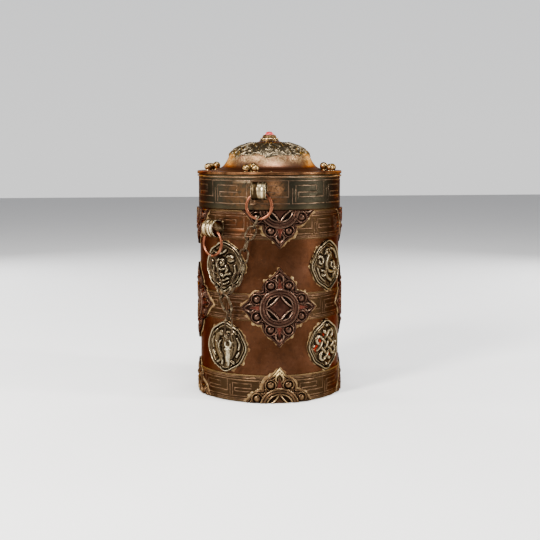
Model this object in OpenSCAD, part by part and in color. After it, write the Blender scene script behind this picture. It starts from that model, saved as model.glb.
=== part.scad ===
// Prayer wheel drum: a copper drum with a lift-off domed lid, turning on a
// spindle that stands on a weighted foot. Two chain legs run from a ring on the
// lid and a ring on the drum to one link, and a latch pin hangs below it.
// Millimetres, +Z up. The origin is on the spindle's axis, at the foot's
// underside. The front of the drum faces -Y. Azimuth 0 is -Y, and it grows
// towards +X.

/* [Drum] */
// Outer radius of the copper drum wall
wall_r = 52; // [50:0.5:54]
// Thickness of the drum wall
wall_t = 1; // [0.8:0.1:1.4]
// Height of the drum wall's upper edge
body_h = 138.4; // [136:0.2:141]
// Gap between the drum's rim and the surface that the foot stands on
rim_gap = 0.6; // [0.4:0.1:1]
// Thickness of the brass bands around the drum
band_t = 0.8; // [0.5:0.1:1]
// Height of the bottom band's upper edge
band1_top = 20.3; // [19:0.1:21]
// Lower edge of the middle band
band2_bot = 59.6; // [58.5:0.1:60.5]
// Upper edge of the middle band
band2_top = 79.2; // [78:0.1:80]
// Lower edge of the top band
band3_bot = 117.8; // [117:0.1:119]

/* [Plaques] */
// Half the height and half the width of a lobed plaque, along the wall
plaque_h = 28.6; // [27:0.2:30]
// Height of the middle plaques' centres
plaque_z = 69.2; // [68:0.2:71]
// Height of the top plaques' centres, which the drum's edge cuts in half
plaque_top_z = 140; // [139:0.2:141]
// Height of the bottom plaques' centres, which the drum's rim cuts in half
plaque_bot_z = -2.6; // [-4:0.2:0]
// Outer radius of the raised ring at a plaque's centre
plaque_ring_r = 13.7; // [13:0.1:14.5]
// Inner radius of that ring
plaque_ring_in = 10.9; // [10:0.1:11.5]

/* [Medallions] */
// Mean radius of a silver medallion, along the wall
medal_r = 16.9; // [16:0.1:17.5]
// Height of the upper medallions' centres
medal_up_z = 98; // [97:0.2:99]
// Height of the lower medallions' centres
medal_low_z = 39.6; // [39:0.2:40.5]

/* [Lid] */
// Lower edge of the lid's skirt
skirt_bot = 139; // [138.8:0.1:139.4]
// Upper end of the skirt, where the flange starts
skirt_top = 163.3; // [162.5:0.1:164]
// Radius of the flange around the lid
flange_r = 53.9; // [53.5:0.1:54.2]
// Radial clearance between the lid's skirt and the drum's neck
lid_clear = 0.3; // [0.2:0.05:0.5]
// Radius of the small brass balls on the flange
ball_r = 3; // [2.8:0.1:3.1]

/* [Loops, rings and chain] */
// Outer radius of the rolled strap loops
loop_r = 6.4; // [6.2:0.1:6.6]
// Thickness of the strap
loop_t = 0.9; // [0.7:0.1:1]
// Width of the strap, which is the rolled loop's length
loop_w = 11; // [10:0.2:11]
// Azimuth of the loop on the lid
lid_loop_az = -15; // [-17:0.5:-13]
// Height of the lid loop's axis
lid_loop_z = 152.6; // [152:0.2:153]
// Azimuth of the loop on the drum
body_loop_az = -51; // [-53:0.5:-50]
// Height of the drum loop's axis
body_loop_z = 125.4; // [125:0.2:126]
// Mean radius of a copper ring
ring_r = 8.9; // [8.7:0.1:9]
// Radius of the copper ring's wire
ring_wire = 1.1; // [1:0.05:1.15]
// Radius of the chain links' wire
link_wire = 0.6; // [0.5:0.05:0.65]

/* [Foot and spindle] */
// Radius of the foot
foot_r = 36; // [30:0.5:44]
// Thickness of the foot
foot_t = 6; // [5:0.5:8]
// Radius of the spindle
spindle_r = 3; // [2.5:0.1:3.5]
// Radial running clearance in the two bushes
bush_clear = 0.05; // [0.03:0.01:0.1]
// Radius of the socket in the foot's underside
socket_r = 4; // [3:0.1:4.5]
// Depth of that socket
socket_depth = 12; // [8:0.5:12]

/* [Prayer roll] */
// Outer radius of the rolled paper
roll_r = 43; // [36:0.5:44]
// Outer radius of the wooden core
core_r = 8; // [7:0.5:10]

/* [Hidden] */
$fn = 96;
e = 0.02;                      // gap between nested round parts of one body
band_r = wall_r + band_t;
loop_c = wall_r + band_t + 0.4 + loop_r - 0.3;   // radius at which a loop's axis lies
ring_drop = 10.5;              // loop axis down to the centre of its ring
hang_drop = ring_drop + ring_r; // loop axis down to the ring's lowest wire
plate_z = 21.5;                // underside of the drum's base plate
neck_top = 156;
az_medal = [46, -46.5, 134, -134];
az_medal_low = [43.5, -45, 134, -134];

// ---- helpers ----
function pol(az, r, z) = [r * sin(az), -r * cos(az), z];
function unit(v) = v / norm(v);
// a flat outline point at arc length p.x, seen straight on at the wall
function bend(p) = [wall_r * sin(p[0] / wall_r * 180 / PI), p[1]];

module tube(ro, ri, z0, z1) { rotate_extrude() translate([ri, z0]) square([ro - ri, z1 - z0]); }

// what is drawn in 2D, x along the wall and y up, becomes a plate between two radii
module on_wall(r0, r1, az, z) {
  rotate([0, 0, az]) intersection() {
    tube(r1, r0, z - 40, z + 40);
    translate([0, 0, z]) rotate([90, 0, 0]) linear_extrude(height = 70) children();
  }
}

// ---- the lobed plaque ----
lobe = [[12.1, 12.1], [13.8, 12.3], [16.4, 11.7], [18.8, 10.3], [20.7, 8.3], [22.1, 6.1], [23.6, 3.9], [25.6, 1.9]];
function lobe_half() = [for (p = lobe) p * (plaque_h / 28.6)];
function lobe_full() = concat(lobe_half(), [[plaque_h, 0]], [for (i = [len(lobe) - 1:-1:1]) [lobe_half()[i][0], -lobe_half()[i][1]]]);
function turn2(p, a) = [p[0] * cos(a) - p[1] * sin(a), p[0] * sin(a) + p[1] * cos(a)];
plaque_outline = [for (k = [0:3]) for (p = lobe_full()) turn2(p, -90 * k)];

module plaque_flat(grow = 0) { polygon([for (p = plaque_outline) bend(p * (1 + grow / plaque_h))]); }
module plaque_relief() {
  difference() { circle(r = plaque_ring_r); circle(r = plaque_ring_in); }
  for (a = [45:90:315]) rotate([0, 0, a]) translate([8.2, 0]) intersection() {
    translate([-6.4, 0]) circle(r = 8.4);
    translate([6.4, 0]) circle(r = 8.4);
  }
  for (a = [0:90:270]) rotate([0, 0, a]) for (k = [-1, 1]) translate([15.8, 6.3 * k]) circle(r = 2.6, $fn = 48);
}
module plaque(az, z) {
  on_wall(wall_r + e, wall_r + 1.6, az, z) plaque_flat();
  on_wall(wall_r + 1.5, wall_r + 2.8, az, z) plaque_relief();
}
module bands_solid(g) {
  tube(band_r + g, wall_r - 3, rim_gap - 1, band1_top + g);
  tube(band_r + g, wall_r - 3, band2_bot - g, band2_top + g);
  tube(band_r + g, wall_r - 3, band3_bot - g, body_h + 3);
}

// ---- medallions ----
function ogee(a) = medal_r + 1.3 * pow(abs(sin(a)), 10) + 0.35 * cos(8 * a) + 0.9 * pow(abs(cos(a)), 6);
module medal_flat(s = 1) { polygon([for (a = [0:7.5:352.5]) bend([s * ogee(a) * cos(a), s * ogee(a) * sin(a)])]); }
module medal(az, z) {
  on_wall(wall_r + e, wall_r + 1.3, az, z) medal_flat();
  on_wall(wall_r + 1.2, wall_r + 2, az, z) difference() { medal_flat(); medal_flat(0.88); }
  on_wall(wall_r + 1.2, wall_r + 2.8, az, z) children();
}
module leaf(w, h) { intersection() { translate([-h * h / w / 4 + w / 4, 0]) circle(r = h * h / w / 4 + w / 4); translate([h * h / w / 4 - w / 4, 0]) circle(r = h * h / w / 4 + w / 4); } }

// ---- chain ----
// One link: outer length lo, outer width wo, wire radius w. It lies in XZ, long along Z.
module link(lo, wo, w) {
  rr = wo / 2 - w;
  s = lo / 2 - wo / 2;
  for (k = [0, 1]) mirror([0, 0, k]) translate([0, 0, s]) rotate([90, 0, 0]) rotate_extrude(angle = 180) translate([rr, 0]) circle(r = w, $fn = 32);
  if (s > 0) for (k = [-1, 1]) translate([k * rr, 0, -s]) cylinder(r = w, h = 2 * s, $fn = 32);
}
// The frame of a link between two points: flat = 0 lies radially, flat = 1 faces out
function link_frame(a, b, flat) =
  let (m = (a + b) / 2, z = unit(a - b), rad = unit([m[0], m[1], 0]),
       tx = unit(cross(rad, z)), rx = unit(cross(z, tx)), x = flat == 1 ? tx : rx, y = cross(z, x))
  [[x[0], y[0], z[0], m[0]], [x[1], y[1], z[1], m[1]], [x[2], y[2], z[2], m[2]], [0, 0, 0, 1]];
module link_at(a, b, flat, lo, wo, w) { multmatrix(link_frame(a, b, flat)) link(round(lo * 10) / 10, wo, w); }

chain_r = 59;                  // radius at which the chain hangs in front of the drum
// The points where one link meets the next, as azimuth, radius and height
lid_leg = [[-15.3, loop_c, lid_loop_z - hang_drop + 1.5], [-18.8, 59.4, 126.9], [-22.8, 59.2, 119.2], [-25.2, 59, 110.9],
           [-26.6, 59, 102.4], [-28.9, 59, 94], [-32.4, 59, 86.1], [-37, 59, 79.4]];
body_leg = [[-51, loop_c, body_loop_z - hang_drop + 1.3], [-50.3, 59.2, 100.9], [-48.6, 59, 94.7], [-46.9, 59, 88.8], [-45.4, 59, 83], [-42.9, 59, 77.2]];
junction = [[-42.4, 59, 77.6], [-37.2, 59, 67]];
tail = [[-37.2, 59, 66.6], [-37.4, 59, 61.4], [-37.9, 59, 49.8], [-38.2, 59, 45]];
function pts(list) = [for (p = list) pol(p[0], p[1], p[2])];

module leg(list, first) {
  p = pts(list);
  for (i = [0:len(p) - 2]) link_at(p[i], p[i + 1], (i + first) % 2, norm(p[i] - p[i + 1]) + 4 * link_wire + 0.3, (i + first) % 2 == 1 ? 7.4 : 6.6, link_wire);
}

// ---- the lid's profile, radius and height of its outer face ----
dome = [[flange_r, 165.2], [flange_r - 0.4, 165.6], [42, 165.6], [39.6, 166.7], [37, 167.5], [34.8, 168.8], [33, 170.9], [31.8, 172.8],
        [30.8, 174.8], [29.4, 177.6], [26.4, 180.6], [21.4, 183.4], [16, 185.2], [11.3, 186.2], [7.5, 187.1]];
dome_in = [[7.5, 186.2], [11.1, 185.3], [15.7, 184.3], [20.9, 182.6], [25.8, 179.9], [28.6, 177.1], [29.9, 174.5], [30.9, 172.4],
           [32.2, 170.2], [34.2, 167.9], [36.7, 166.6], [39.2, 165.7], [41.6, 164.4]];

// ==== stand ====
module foot() {
  color("darkgoldenrod") difference() {
    rotate_extrude() polygon([[0, 0], [foot_r - 0.8, 0], [foot_r, 0.8], [foot_r, foot_t - 1.5], [foot_r - 1.5, foot_t], [12, foot_t], [9, foot_t + 2], [9, 19], [0, 19]]);
    translate([0, 0, -1]) cylinder(r = socket_r, h = socket_depth + 1);
    translate([0, 0, 14]) cylinder(r = spindle_r, h = 6);
  }
}
module spindle() { color("silver") rotate_extrude() polygon([[0, 14], [spindle_r, 14], [spindle_r, 156], [spindle_r - 0.8, 157], [0, 157]]); }
module thrust_washer() { color("peru") tube(9, spindle_r + 0.1, 19, 20); }
module spindle_nut() {
  color("goldenrod") difference() {
    translate([0, 0, 150.4]) cylinder(r = 6.4, h = 3.4, $fn = 6);
    translate([0, 0, 150]) cylinder(r = spindle_r, h = 5);
  }
}

// ==== drum ====
module drum_wall() { color("saddlebrown") tube(wall_r, wall_r - wall_t, rim_gap, body_h); }
module base_plate() { color("sienna") tube(wall_r - wall_t - e, 6 + e, plate_z, plate_z + 1.2); }
module lower_bush() {
  color("goldenrod") rotate_extrude() polygon([[spindle_r + bush_clear, 20.05], [9, 20.05], [9, plate_z], [6, plate_z], [6, 27], [spindle_r + bush_clear, 27]]);
}
module neck_collar() { color("peru") tube(wall_r - wall_t - e, wall_r - wall_t - 1, 112, neck_top); }
module bridge_bar() {
  color("goldenrod") difference() {
    intersection() { translate([-60, -8, 144]) cube([120, 16, 1.6]); cylinder(r = wall_r - wall_t - 1 - e, h = 200); }
    translate([0, 0, 140]) cylinder(r = 6 + e, h = 10);
  }
}
module upper_bush() {
  color("goldenrod") rotate_extrude() polygon([[spindle_r + bush_clear, 143], [8.5, 143], [8.5, 144], [6, 144], [6, 150], [spindle_r + bush_clear, 150]]);
}
module bottom_band() { color("darkkhaki") tube(band_r, wall_r + e, rim_gap, band1_top); }
module middle_band() { color("darkkhaki") tube(band_r, wall_r + e, band2_bot, band2_top); }
module top_band() { color("darkkhaki") tube(band_r, wall_r + e, band3_bot, body_h); }

module plaques_middle() {
  color("maroon") difference() {
    for (a = [0:90:270]) plaque(a, plaque_z);
    tube(band_r + e, wall_r - 3, band2_bot - e, band2_top + e);
  }
}
module plaques_top() {
  color("maroon") difference() {
    for (a = [0:90:270]) plaque(a, plaque_top_z);
    tube(band_r + e, wall_r - 3, band3_bot - e, body_h + 3);
    translate([0, 0, body_h]) cylinder(r = 80, h = 60);
  }
}
module plaques_bottom() {
  color("maroon") difference() {
    for (a = [0:90:270]) plaque(a, plaque_bot_z);
    tube(band_r + e, wall_r - 3, rim_gap - 4, band1_top + e);
    translate([0, 0, rim_gap - 60]) cylinder(r = 80, h = 60);
  }
}

module medallion_conch() {
  color("lightgray") medal(az_medal[0], medal_up_z) {
    translate([1, 1]) circle(r = 6);
    translate([-4, -4.5]) circle(r = 3.6);
    translate([3, 8]) circle(r = 2.6);
    for (a = [0:60:300]) rotate([0, 0, a]) translate([11.2, 0]) circle(r = 1.8, $fn = 32);
  }
}
module medallion_knot() {
  color("lightgray") medal(az_medal_low[0], medal_low_z) rotate([0, 0, 45]) {
    for (k = [-1:1]) { translate([k * 5 - 1.1, -8.8]) square([2.2, 17.6]); translate([-8.8, k * 5 - 1.1]) square([17.6, 2.2]); }
  }
}
module medallion_lotus() {
  color("lightgray") medal(az_medal[1], medal_up_z) {
    for (a = [-60:30:60]) rotate([0, 0, a]) translate([0, 5.6]) leaf(4.6, 13);
    translate([0, -5.6]) circle(r = 4.4);
  }
}
module medallion_fish() {
  color("lightgray") medal(az_medal_low[1], medal_low_z) for (k = [-1, 1]) {
    translate([6.6 * k, 0]) rotate([0, 0, -14 * k]) leaf(7, 22);
    translate([5 * k, -10.4]) circle(r = 2.2, $fn = 32);
  }
}
module medallion_parasol() {
  color("lightgray") medal(az_medal[2], medal_up_z) {
    intersection() { translate([0, -1]) circle(r = 10.5); translate([-12, 1]) square([24, 12]); }
    translate([-1, -11]) square([2, 13]);
    for (k = [-2:2]) translate([4.3 * k, 0.6]) circle(r = 1.8, $fn = 32);
  }
}
module medallion_vase() {
  color("lightgray") medal(az_medal_low[2], medal_low_z) {
    translate([0, -2.6]) circle(r = 7);
    translate([-2.2, 3]) square([4.4, 5]);
    translate([-4.4, 7.2]) square([8.8, 2]);
    translate([-4.8, -11.4]) square([9.6, 2.6]);
  }
}
module medallion_banner() {
  color("lightgray") medal(az_medal[3], medal_up_z) {
    for (k = [0:2]) translate([-4.6 - 0.8 * k, 4.4 - 5.4 * k]) square([9.2 + 1.6 * k, 4]);
    translate([-1, -11.6]) square([2, 6]);
    translate([0, 9.4]) circle(r = 2.4, $fn = 32);
  }
}
module medallion_wheel() {
  color("lightgray") medal(az_medal_low[3], medal_low_z) {
    difference() { circle(r = 10.6); circle(r = 8.2); }
    circle(r = 2.8);
    for (a = [0:45:315]) rotate([0, 0, a]) translate([2, -0.7]) square([7, 1.4]);
  }
}

// ==== what turns inside ====
module scroll_core() { color("burlywood") tube(core_r, 4.4, 27.2, 141); }
module prayer_scroll() { color("wheat") tube(roll_r, core_r + e, 29, 130); }
module scroll_wrapper() { color("darkred") tube(roll_r + 1, roll_r + e, 29, 130); }
module scroll_ties() { color("gold") for (z = [52, 79, 106]) tube(roll_r + 2.2, roll_r + 1 + e, z, z + 3); }

// ==== loops, rings and chain ====
module strap_loop(az, z, back_r) {
  rotate([0, 0, az]) difference() {
    union() {
      translate([-loop_w / 2, -loop_c, z]) rotate([0, 90, 0]) cylinder(r = loop_r, h = loop_w);
      translate([-loop_w / 2, -back_r - 2.6, z - 6.4]) cube([loop_w, 4, 12]);
    }
    translate([-loop_w, -loop_c, z]) rotate([0, 90, 0]) cylinder(r = loop_r - loop_t, h = 2 * loop_w);
    translate([0, 0, z - 20]) cylinder(r = back_r + e, h = 40);
  }
}
module hang_ring(az, z) {
  rotate([0, 0, az]) translate([0, -loop_c, z - ring_drop]) rotate([90, 0, 0]) rotate_extrude() translate([ring_r, 0]) circle(r = ring_wire, $fn = 48);
}
module body_loop() { color("lightgray") strap_loop(body_loop_az, body_loop_z, band_r); }
module body_ring() { color("chocolate") hang_ring(body_loop_az, body_loop_z); }
module body_chain() { color("dimgray") leg(body_leg, 0); }
module junction_link() { color("dimgray") link_at(pol(junction[0][0], junction[0][1], junction[0][2]), pol(junction[1][0], junction[1][1], junction[1][2]), 1, 15, 8.4, 0.75); }
module tail_links() {
  p = pts(tail);
  color("dimgray") {
    link_at(p[0], p[1], 0, norm(p[0] - p[1]) + 4 * link_wire + 1.2, 6, link_wire);
    link_at(p[1], p[2], 1, norm(p[1] - p[2]) + 4 * link_wire + 0.3, 6.6, link_wire);
    link_at(p[2], p[3], 0, norm(p[2] - p[3]) + 4 * link_wire + 0.9, 6, link_wire);
  }
}
module latch_pin() {
  color("lightgray") translate(pol(tail[3][0], tail[3][1], 0)) rotate([0, 0, tail[3][0]]) {
    translate([0, 0, tail[3][2] - 1.9]) rotate([90, 0, 0]) rotate_extrude() translate([2.4, 0]) circle(r = 0.65, $fn = 32);
    rotate_extrude() polygon([[0, 40.9], [1.3, 40.9], [1.7, 40.2], [2.3, 39.6], [2.3, 38.6], [1.6, 38], [1.7, 34], [1.1, 27.6], [0.5, 26.8], [0, 26.8]]);
  }
}

// ==== lid ====
skirt_in = wall_r - wall_t - e + lid_clear;
skirt_r = skirt_in + 0.8;
module lid_skirt() { color("saddlebrown") tube(skirt_r, skirt_in, skirt_bot, skirt_top); }
module lid_band() { color("darkkhaki") tube(band_r + 0.1, skirt_r + e, skirt_bot + 0.1, skirt_top - 0.1); }
module lid_wire() { color("peru") rotate_extrude() translate([band_r + 0.1 + 0.55, 162]) circle(r = 0.55, $fn = 32); }
module lid_top() {
  color("rosybrown") difference() {
    rotate_extrude() polygon(concat([[41.6, skirt_top], [flange_r - 0.4, skirt_top], [flange_r, skirt_top + 0.4]], dome, [[0, 187.1], [0, 186.2]], dome_in));
    translate([0, 0, 170]) cylinder(r = 1.5, h = 30);
  }
}
module dome_collar() {
  color("darkolivegreen") difference() {
    intersection() {
      rotate_extrude() polygon([[12, 180], [31.2, 176.2], [30.4, 178.2], [27.4, 181.4], [22, 184.3], [16.4, 186.2], [12, 187]]);
      linear_extrude(height = 300) polygon([for (a = [0:5:355]) (29.6 + 1.4 * abs(cos(4 * a))) * [cos(a), sin(a)]]);
    }
    rotate_extrude() polygon(concat([[0, 150], [flange_r, 150]], dome, [[0, 187.1]]));
  }
}
module bead_clusters() {
  color("goldenrod") difference() {
    for (a = [-24, 66, 156, 246]) rotate([0, 0, a]) {
      for (k = [-1, 1]) translate([3.15 * k, -47.2, 167.9]) sphere(r = ball_r);
      translate([0, -41.6, 168.9]) sphere(r = ball_r);
    }
    rotate_extrude() polygon(concat([[0, 150], [flange_r, 150]], dome, [[0, 187.1]]));
  }
}
module finial_base() { color("peru") tube(7.5, 1.5 + e, 187.1, 187.9); }
module finial_ring() { color("gold") rotate_extrude() polygon([[1.5 + e, 187.9], [6.4, 187.9], [7.1, 188.3], [7.1, 189.1], [6.4, 189.6], [1.5 + e, 189.6]]); }
module finial_bezel() {
  color("darkgoldenrod") difference() {
    rotate_extrude() polygon([[0, 189.6], [5.4, 189.6], [4.5, 191.8], [3.7, 191.8], [3.7, 190.8], [0, 190.8]]);
    translate([0, 0, 180]) cylinder(r = 1.5 + e, h = 10.4);
  }
}
module coral_cabochon() { color("crimson") rotate_extrude() polygon(concat([[0, 190.8], [3.68, 190.8]], [for (a = [0:10:80]) [3.68 * cos(a), 191.6 + 2.9 * sin(a)]], [[0, 194.5]])); }
module finial_stud() { color("goldenrod") rotate_extrude() polygon([[0, 178.5], [1.5 - e, 178.5], [1.5 - e, 190.2], [0, 190.2]]); }
module finial_nut() {
  color("goldenrod") difference() {
    translate([0, 0, 183.6]) cylinder(r = 3.6, h = 2.5, $fn = 6);
    translate([0, 0, 180]) cylinder(r = 1.5, h = 10);
  }
}
module lid_loop() { color("lightgray") strap_loop(lid_loop_az, lid_loop_z, band_r + 0.1); }
module lid_ring() { color("chocolate") hang_ring(lid_loop_az, lid_loop_z); }
module lid_chain() { color("dimgray") leg(lid_leg, 0); }

foot();
spindle();
thrust_washer();
spindle_nut();
drum_wall();
base_plate();
lower_bush();
neck_collar();
bridge_bar();
upper_bush();
bottom_band();
middle_band();
top_band();
plaques_middle();
plaques_top();
plaques_bottom();
medallion_conch();
medallion_knot();
medallion_lotus();
medallion_fish();
medallion_parasol();
medallion_vase();
medallion_banner();
medallion_wheel();
scroll_core();
prayer_scroll();
scroll_wrapper();
scroll_ties();
body_loop();
body_ring();
body_chain();
junction_link();
tail_links();
latch_pin();
lid_skirt();
lid_band();
lid_wire();
lid_top();
dome_collar();
bead_clusters();
finial_base();
finial_ring();
finial_bezel();
coral_cabochon();
finial_stud();
finial_nut();
lid_loop();
lid_ring();
lid_chain();
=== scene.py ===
import math

import bpy
import numpy as np
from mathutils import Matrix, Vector


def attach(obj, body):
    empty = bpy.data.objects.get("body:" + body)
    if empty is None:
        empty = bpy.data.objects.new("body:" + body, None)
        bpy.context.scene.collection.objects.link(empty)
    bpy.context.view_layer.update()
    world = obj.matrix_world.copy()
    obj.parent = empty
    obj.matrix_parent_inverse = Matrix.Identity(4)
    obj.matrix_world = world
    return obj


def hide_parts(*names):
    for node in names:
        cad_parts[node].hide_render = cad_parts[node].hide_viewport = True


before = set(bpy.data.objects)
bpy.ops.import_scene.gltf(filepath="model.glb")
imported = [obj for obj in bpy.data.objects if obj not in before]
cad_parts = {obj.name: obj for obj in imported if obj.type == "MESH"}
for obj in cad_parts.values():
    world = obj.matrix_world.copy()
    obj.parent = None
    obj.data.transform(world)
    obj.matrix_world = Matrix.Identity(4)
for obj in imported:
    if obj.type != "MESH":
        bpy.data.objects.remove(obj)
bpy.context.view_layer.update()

WALL = 52.0
BAND = 52.8
LID = 52.9
PI = math.pi


# ---------------------------------------------------------------- numbers
def smooth(a, b, x):
    t = np.clip((x - a) / (b - a), 0, 1)
    return t * t * (3 - 2 * t)


def noise(x, y, z=0.0, seed=0):
    """Smooth value noise from -1 to 1."""
    x, y, z = np.broadcast_arrays(np.asarray(x, float), np.asarray(y, float), np.asarray(z, float))
    xi, yi, zi = np.floor(x), np.floor(y), np.floor(z)
    fx, fy, fz = x - xi, y - yi, z - zi
    fx, fy, fz = [f * f * (3 - 2 * f) for f in (fx, fy, fz)]

    def h(a, b, c):
        n = (a.astype(np.int64) * 73856093) ^ (b.astype(np.int64) * 19349663) ^ (c.astype(np.int64) * 83492791) ^ np.int64(seed * 2654435 + 12345)
        n = n & 0xFFFFFFFF
        n = ((n ^ (n >> 13)) * 1274126177) & 0xFFFFFFFF
        n = ((n ^ (n >> 16)) * 2246822519) & 0xFFFFFFFF
        return (n ^ (n >> 15)) / 4294967295.0 * 2 - 1

    out = 0
    for i in (0, 1):
        for j in (0, 1):
            for k in (0, 1):
                w = (fx if i else 1 - fx) * (fy if j else 1 - fy) * (fz if k else 1 - fz)
                out = out + w * h(xi + i, yi + j, zi + k)
    return out


def fbm(x, y, z=0.0, seed=0, octaves=3):
    out, a, f, t = 0, 1.0, 1.0, 0.0
    for o in range(octaves):
        out = out + a * noise(x * f, y * f, np.asarray(z) * f, seed + 17 * o)
        t += a
        a *= 0.5
        f *= 2.03
    return out / t


def pol(az, r, z):
    a = np.radians(az)
    return np.stack([r * np.sin(a), -r * np.cos(a), z + 0 * a], -1)


def on_wall(s, z, h, az0, base=WALL):
    """A point at arc length s from azimuth az0, height z and h above the wall."""
    a = np.radians(az0) + s / WALL
    r = base + h
    return np.stack([r * np.sin(a), -r * np.cos(a), z + 0 * a], -1)


def spline(pts, n=10, closed=False):
    """Catmull-Rom through the points, in any number of columns."""
    p = np.asarray(pts, float)
    if closed:
        q = np.vstack([p[-1], p, p[0], p[1]])
    else:
        q = np.vstack([2 * p[0] - p[1], p, 2 * p[-1] - p[-2]])
    out = []
    for i in range(1, len(q) - 2):
        a, b, c, d = q[i - 1], q[i], q[i + 1], q[i + 2]
        for k in range(n):
            t = k / n
            out.append(0.5 * (2 * b + (c - a) * t + (2 * a - 5 * b + 4 * c - d) * t * t + (3 * b - a - 3 * c + d) * t ** 3))
    if not closed:
        out.append(q[-2])
    return np.array(out)


def resample(pts, step, closed=True):
    p = np.asarray(pts, float)
    if closed:
        p = np.vstack([p, p[0]])
    d = np.r_[0, np.cumsum(np.linalg.norm(np.diff(p, axis=0), axis=1))]
    n = max(8, int(round(d[-1] / step)))
    t = np.linspace(0, d[-1], n + 1)
    t = t[:-1] if closed else t
    return np.stack([np.interp(t, d, p[:, k]) for k in range(p.shape[1])], -1)


def poly_dist(x, y, line, closed=True):
    """The distance of each point from a polyline."""
    a = np.asarray(line, float)
    b = np.roll(a, -1, axis=0) if closed else a[1:]
    a = a if closed else a[:-1]
    best = np.full(x.shape, 1e9)
    for i in range(0, len(a), 64):
        A, B = a[i:i + 64], b[i:i + 64]
        d = B - A
        L = (d ** 2).sum(-1) + 1e-12
        px, py = x[..., None] - A[:, 0], y[..., None] - A[:, 1]
        t = np.clip((px * d[:, 0] + py * d[:, 1]) / L, 0, 1)
        q = np.hypot(px - t * d[:, 0], py - t * d[:, 1]).min(-1)
        best = np.minimum(best, q)
    return best


def stroke(x, y, pts, n=6):
    """The height of a rounded ridge along points of x, y, half width and height."""
    p = np.asarray(pts, float)
    if len(p) == 1:
        d = np.hypot(x - p[0, 0], y - p[0, 1]) / p[0, 2]
        return p[0, 3] * np.sqrt(np.clip(1 - d * d, 0, 1))
    if len(p) > 2 and n > 1:
        p = spline(p, n)
        p[:, 2] = np.maximum(p[:, 2], 0.05)
    out = np.zeros(x.shape)
    for A, B in zip(p[:-1], p[1:]):
        m = max(A[2], B[2])
        sel = (x > min(A[0], B[0]) - m) & (x < max(A[0], B[0]) + m) & (y > min(A[1], B[1]) - m) & (y < max(A[1], B[1]) + m)
        if not sel.any():
            continue
        X, Y = x[sel], y[sel]
        d = B[:2] - A[:2]
        L = (d ** 2).sum() + 1e-12
        t = np.clip(((X - A[0]) * d[0] + (Y - A[1]) * d[1]) / L, 0, 1)
        w = A[2] + (B[2] - A[2]) * t
        h = A[3] + (B[3] - A[3]) * t
        q = np.hypot(X - A[0] - t * d[0], Y - A[1] - t * d[1]) / w
        out[sel] = np.maximum(out[sel], h * np.sqrt(np.clip(1 - q * q, 0, 1)))
    return out


def curl(cx, cy, r0, r1, a0, a1, w0, w1, h0, h1, n=9):
    """A volute's points, from radius r0 at angle a0 to radius r1 at angle a1, in degrees."""
    out = []
    for i in range(n):
        t = i / (n - 1)
        r, a = r0 + (r1 - r0) * t, math.radians(a0 + (a1 - a0) * t)
        out.append((cx + r * math.cos(a), cy + r * math.sin(a), w0 + (w1 - w0) * t, h0 + (h1 - h0) * t))
    return out


def box_blur(a, k, wrap=False):
    """A box filter 2k + 1 wide along both axes, run twice."""
    for _ in range(2):
        for ax in (0, 1):
            mode = "wrap" if wrap and ax == 1 else "edge"
            p = np.pad(a, [(k + 1, k) if q == ax else (0, 0) for q in (0, 1)], mode=mode)
            c = np.cumsum(p, axis=ax)
            n = a.shape[ax]
            hi = np.take(c, np.arange(2 * k + 1, 2 * k + 1 + n), axis=ax)
            lo = np.take(c, np.arange(0, n), axis=ax)
            a = (hi - lo) / (2 * k + 1)
    return a


def worn(height, size, step=0.16):
    """The relief function with its ht worked out on a fine grid once: painted shade in the recesses and painted
    highlight on the ridges, over some real dirt in the grooves and wear on the high points.
    """
    g = np.arange(-size, size + step, step)
    X, Y = np.meshgrid(g, g, indexing="ij")
    h, at = height(X.ravel(), Y.ravel())
    H = h.reshape(X.shape)
    near, far = box_blur(H, 3), box_blur(H, 9)
    # ht: darker where the relief sinks below its neighbourhood, lighter where it stands above it: painted shade and
    # painted highlight, partly real dirt and wear
    W = 0.40 + 0.85 * (H - near) + 0.42 * (H - far) + 0.05 * (H - 1.2)

    def f(x, y):
        h, at = height(x, y)
        i, j = np.clip((x + size) / step, 0, len(g) - 2), np.clip((y + size) / step, 0, len(g) - 2)
        a, b = np.floor(i).astype(int), np.floor(j).astype(int)
        u, v = i - a, j - b
        w = W[a, b] * (1 - u) * (1 - v) + W[a + 1, b] * u * (1 - v) + W[a, b + 1] * (1 - u) * v + W[a + 1, b + 1] * u * v
        return h, {"ht": np.clip(w, 0, 1), "red": at["red"]}
    return f


# ---------------------------------------------------------------- meshes
def build(name, verts, faces, mat, body, nodes=(), attrs=None, sharp=None):
    me = bpy.data.meshes.new(name)
    V = np.asarray(verts, float) * 0.001
    me.from_pydata(V.tolist(), [], faces if isinstance(faces, list) else faces.tolist())
    for k, v in (attrs or {}).items():
        at = me.attributes.new(k, "FLOAT", "POINT")
        at.data.foreach_set("value", np.ascontiguousarray(v, np.float32).ravel())
    me.validate()
    me.shade_smooth()
    if sharp:
        me.set_sharp_from_angle(angle=math.radians(sharp))
    ob = bpy.data.objects.new(name, me)
    bpy.context.scene.collection.objects.link(ob)
    me.materials.append(mat)
    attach(ob, body)
    if nodes:
        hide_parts(*nodes)
    return ob


def grid_faces(nu, nv, wrap_u=False, wrap_v=False, off=0):
    """Quads of an nu by nv grid whose vertex index is i * nv + j."""
    i = np.arange(nu if wrap_u else nu - 1)
    j = np.arange(nv if wrap_v else nv - 1)
    I, J = np.meshgrid(i, j, indexing="ij")
    I2, J2 = (I + 1) % nu, (J + 1) % nv
    return np.stack([I * nv + J, I2 * nv + J, I2 * nv + J2, I * nv + J2], -1).reshape(-1, 4) + off


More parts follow.
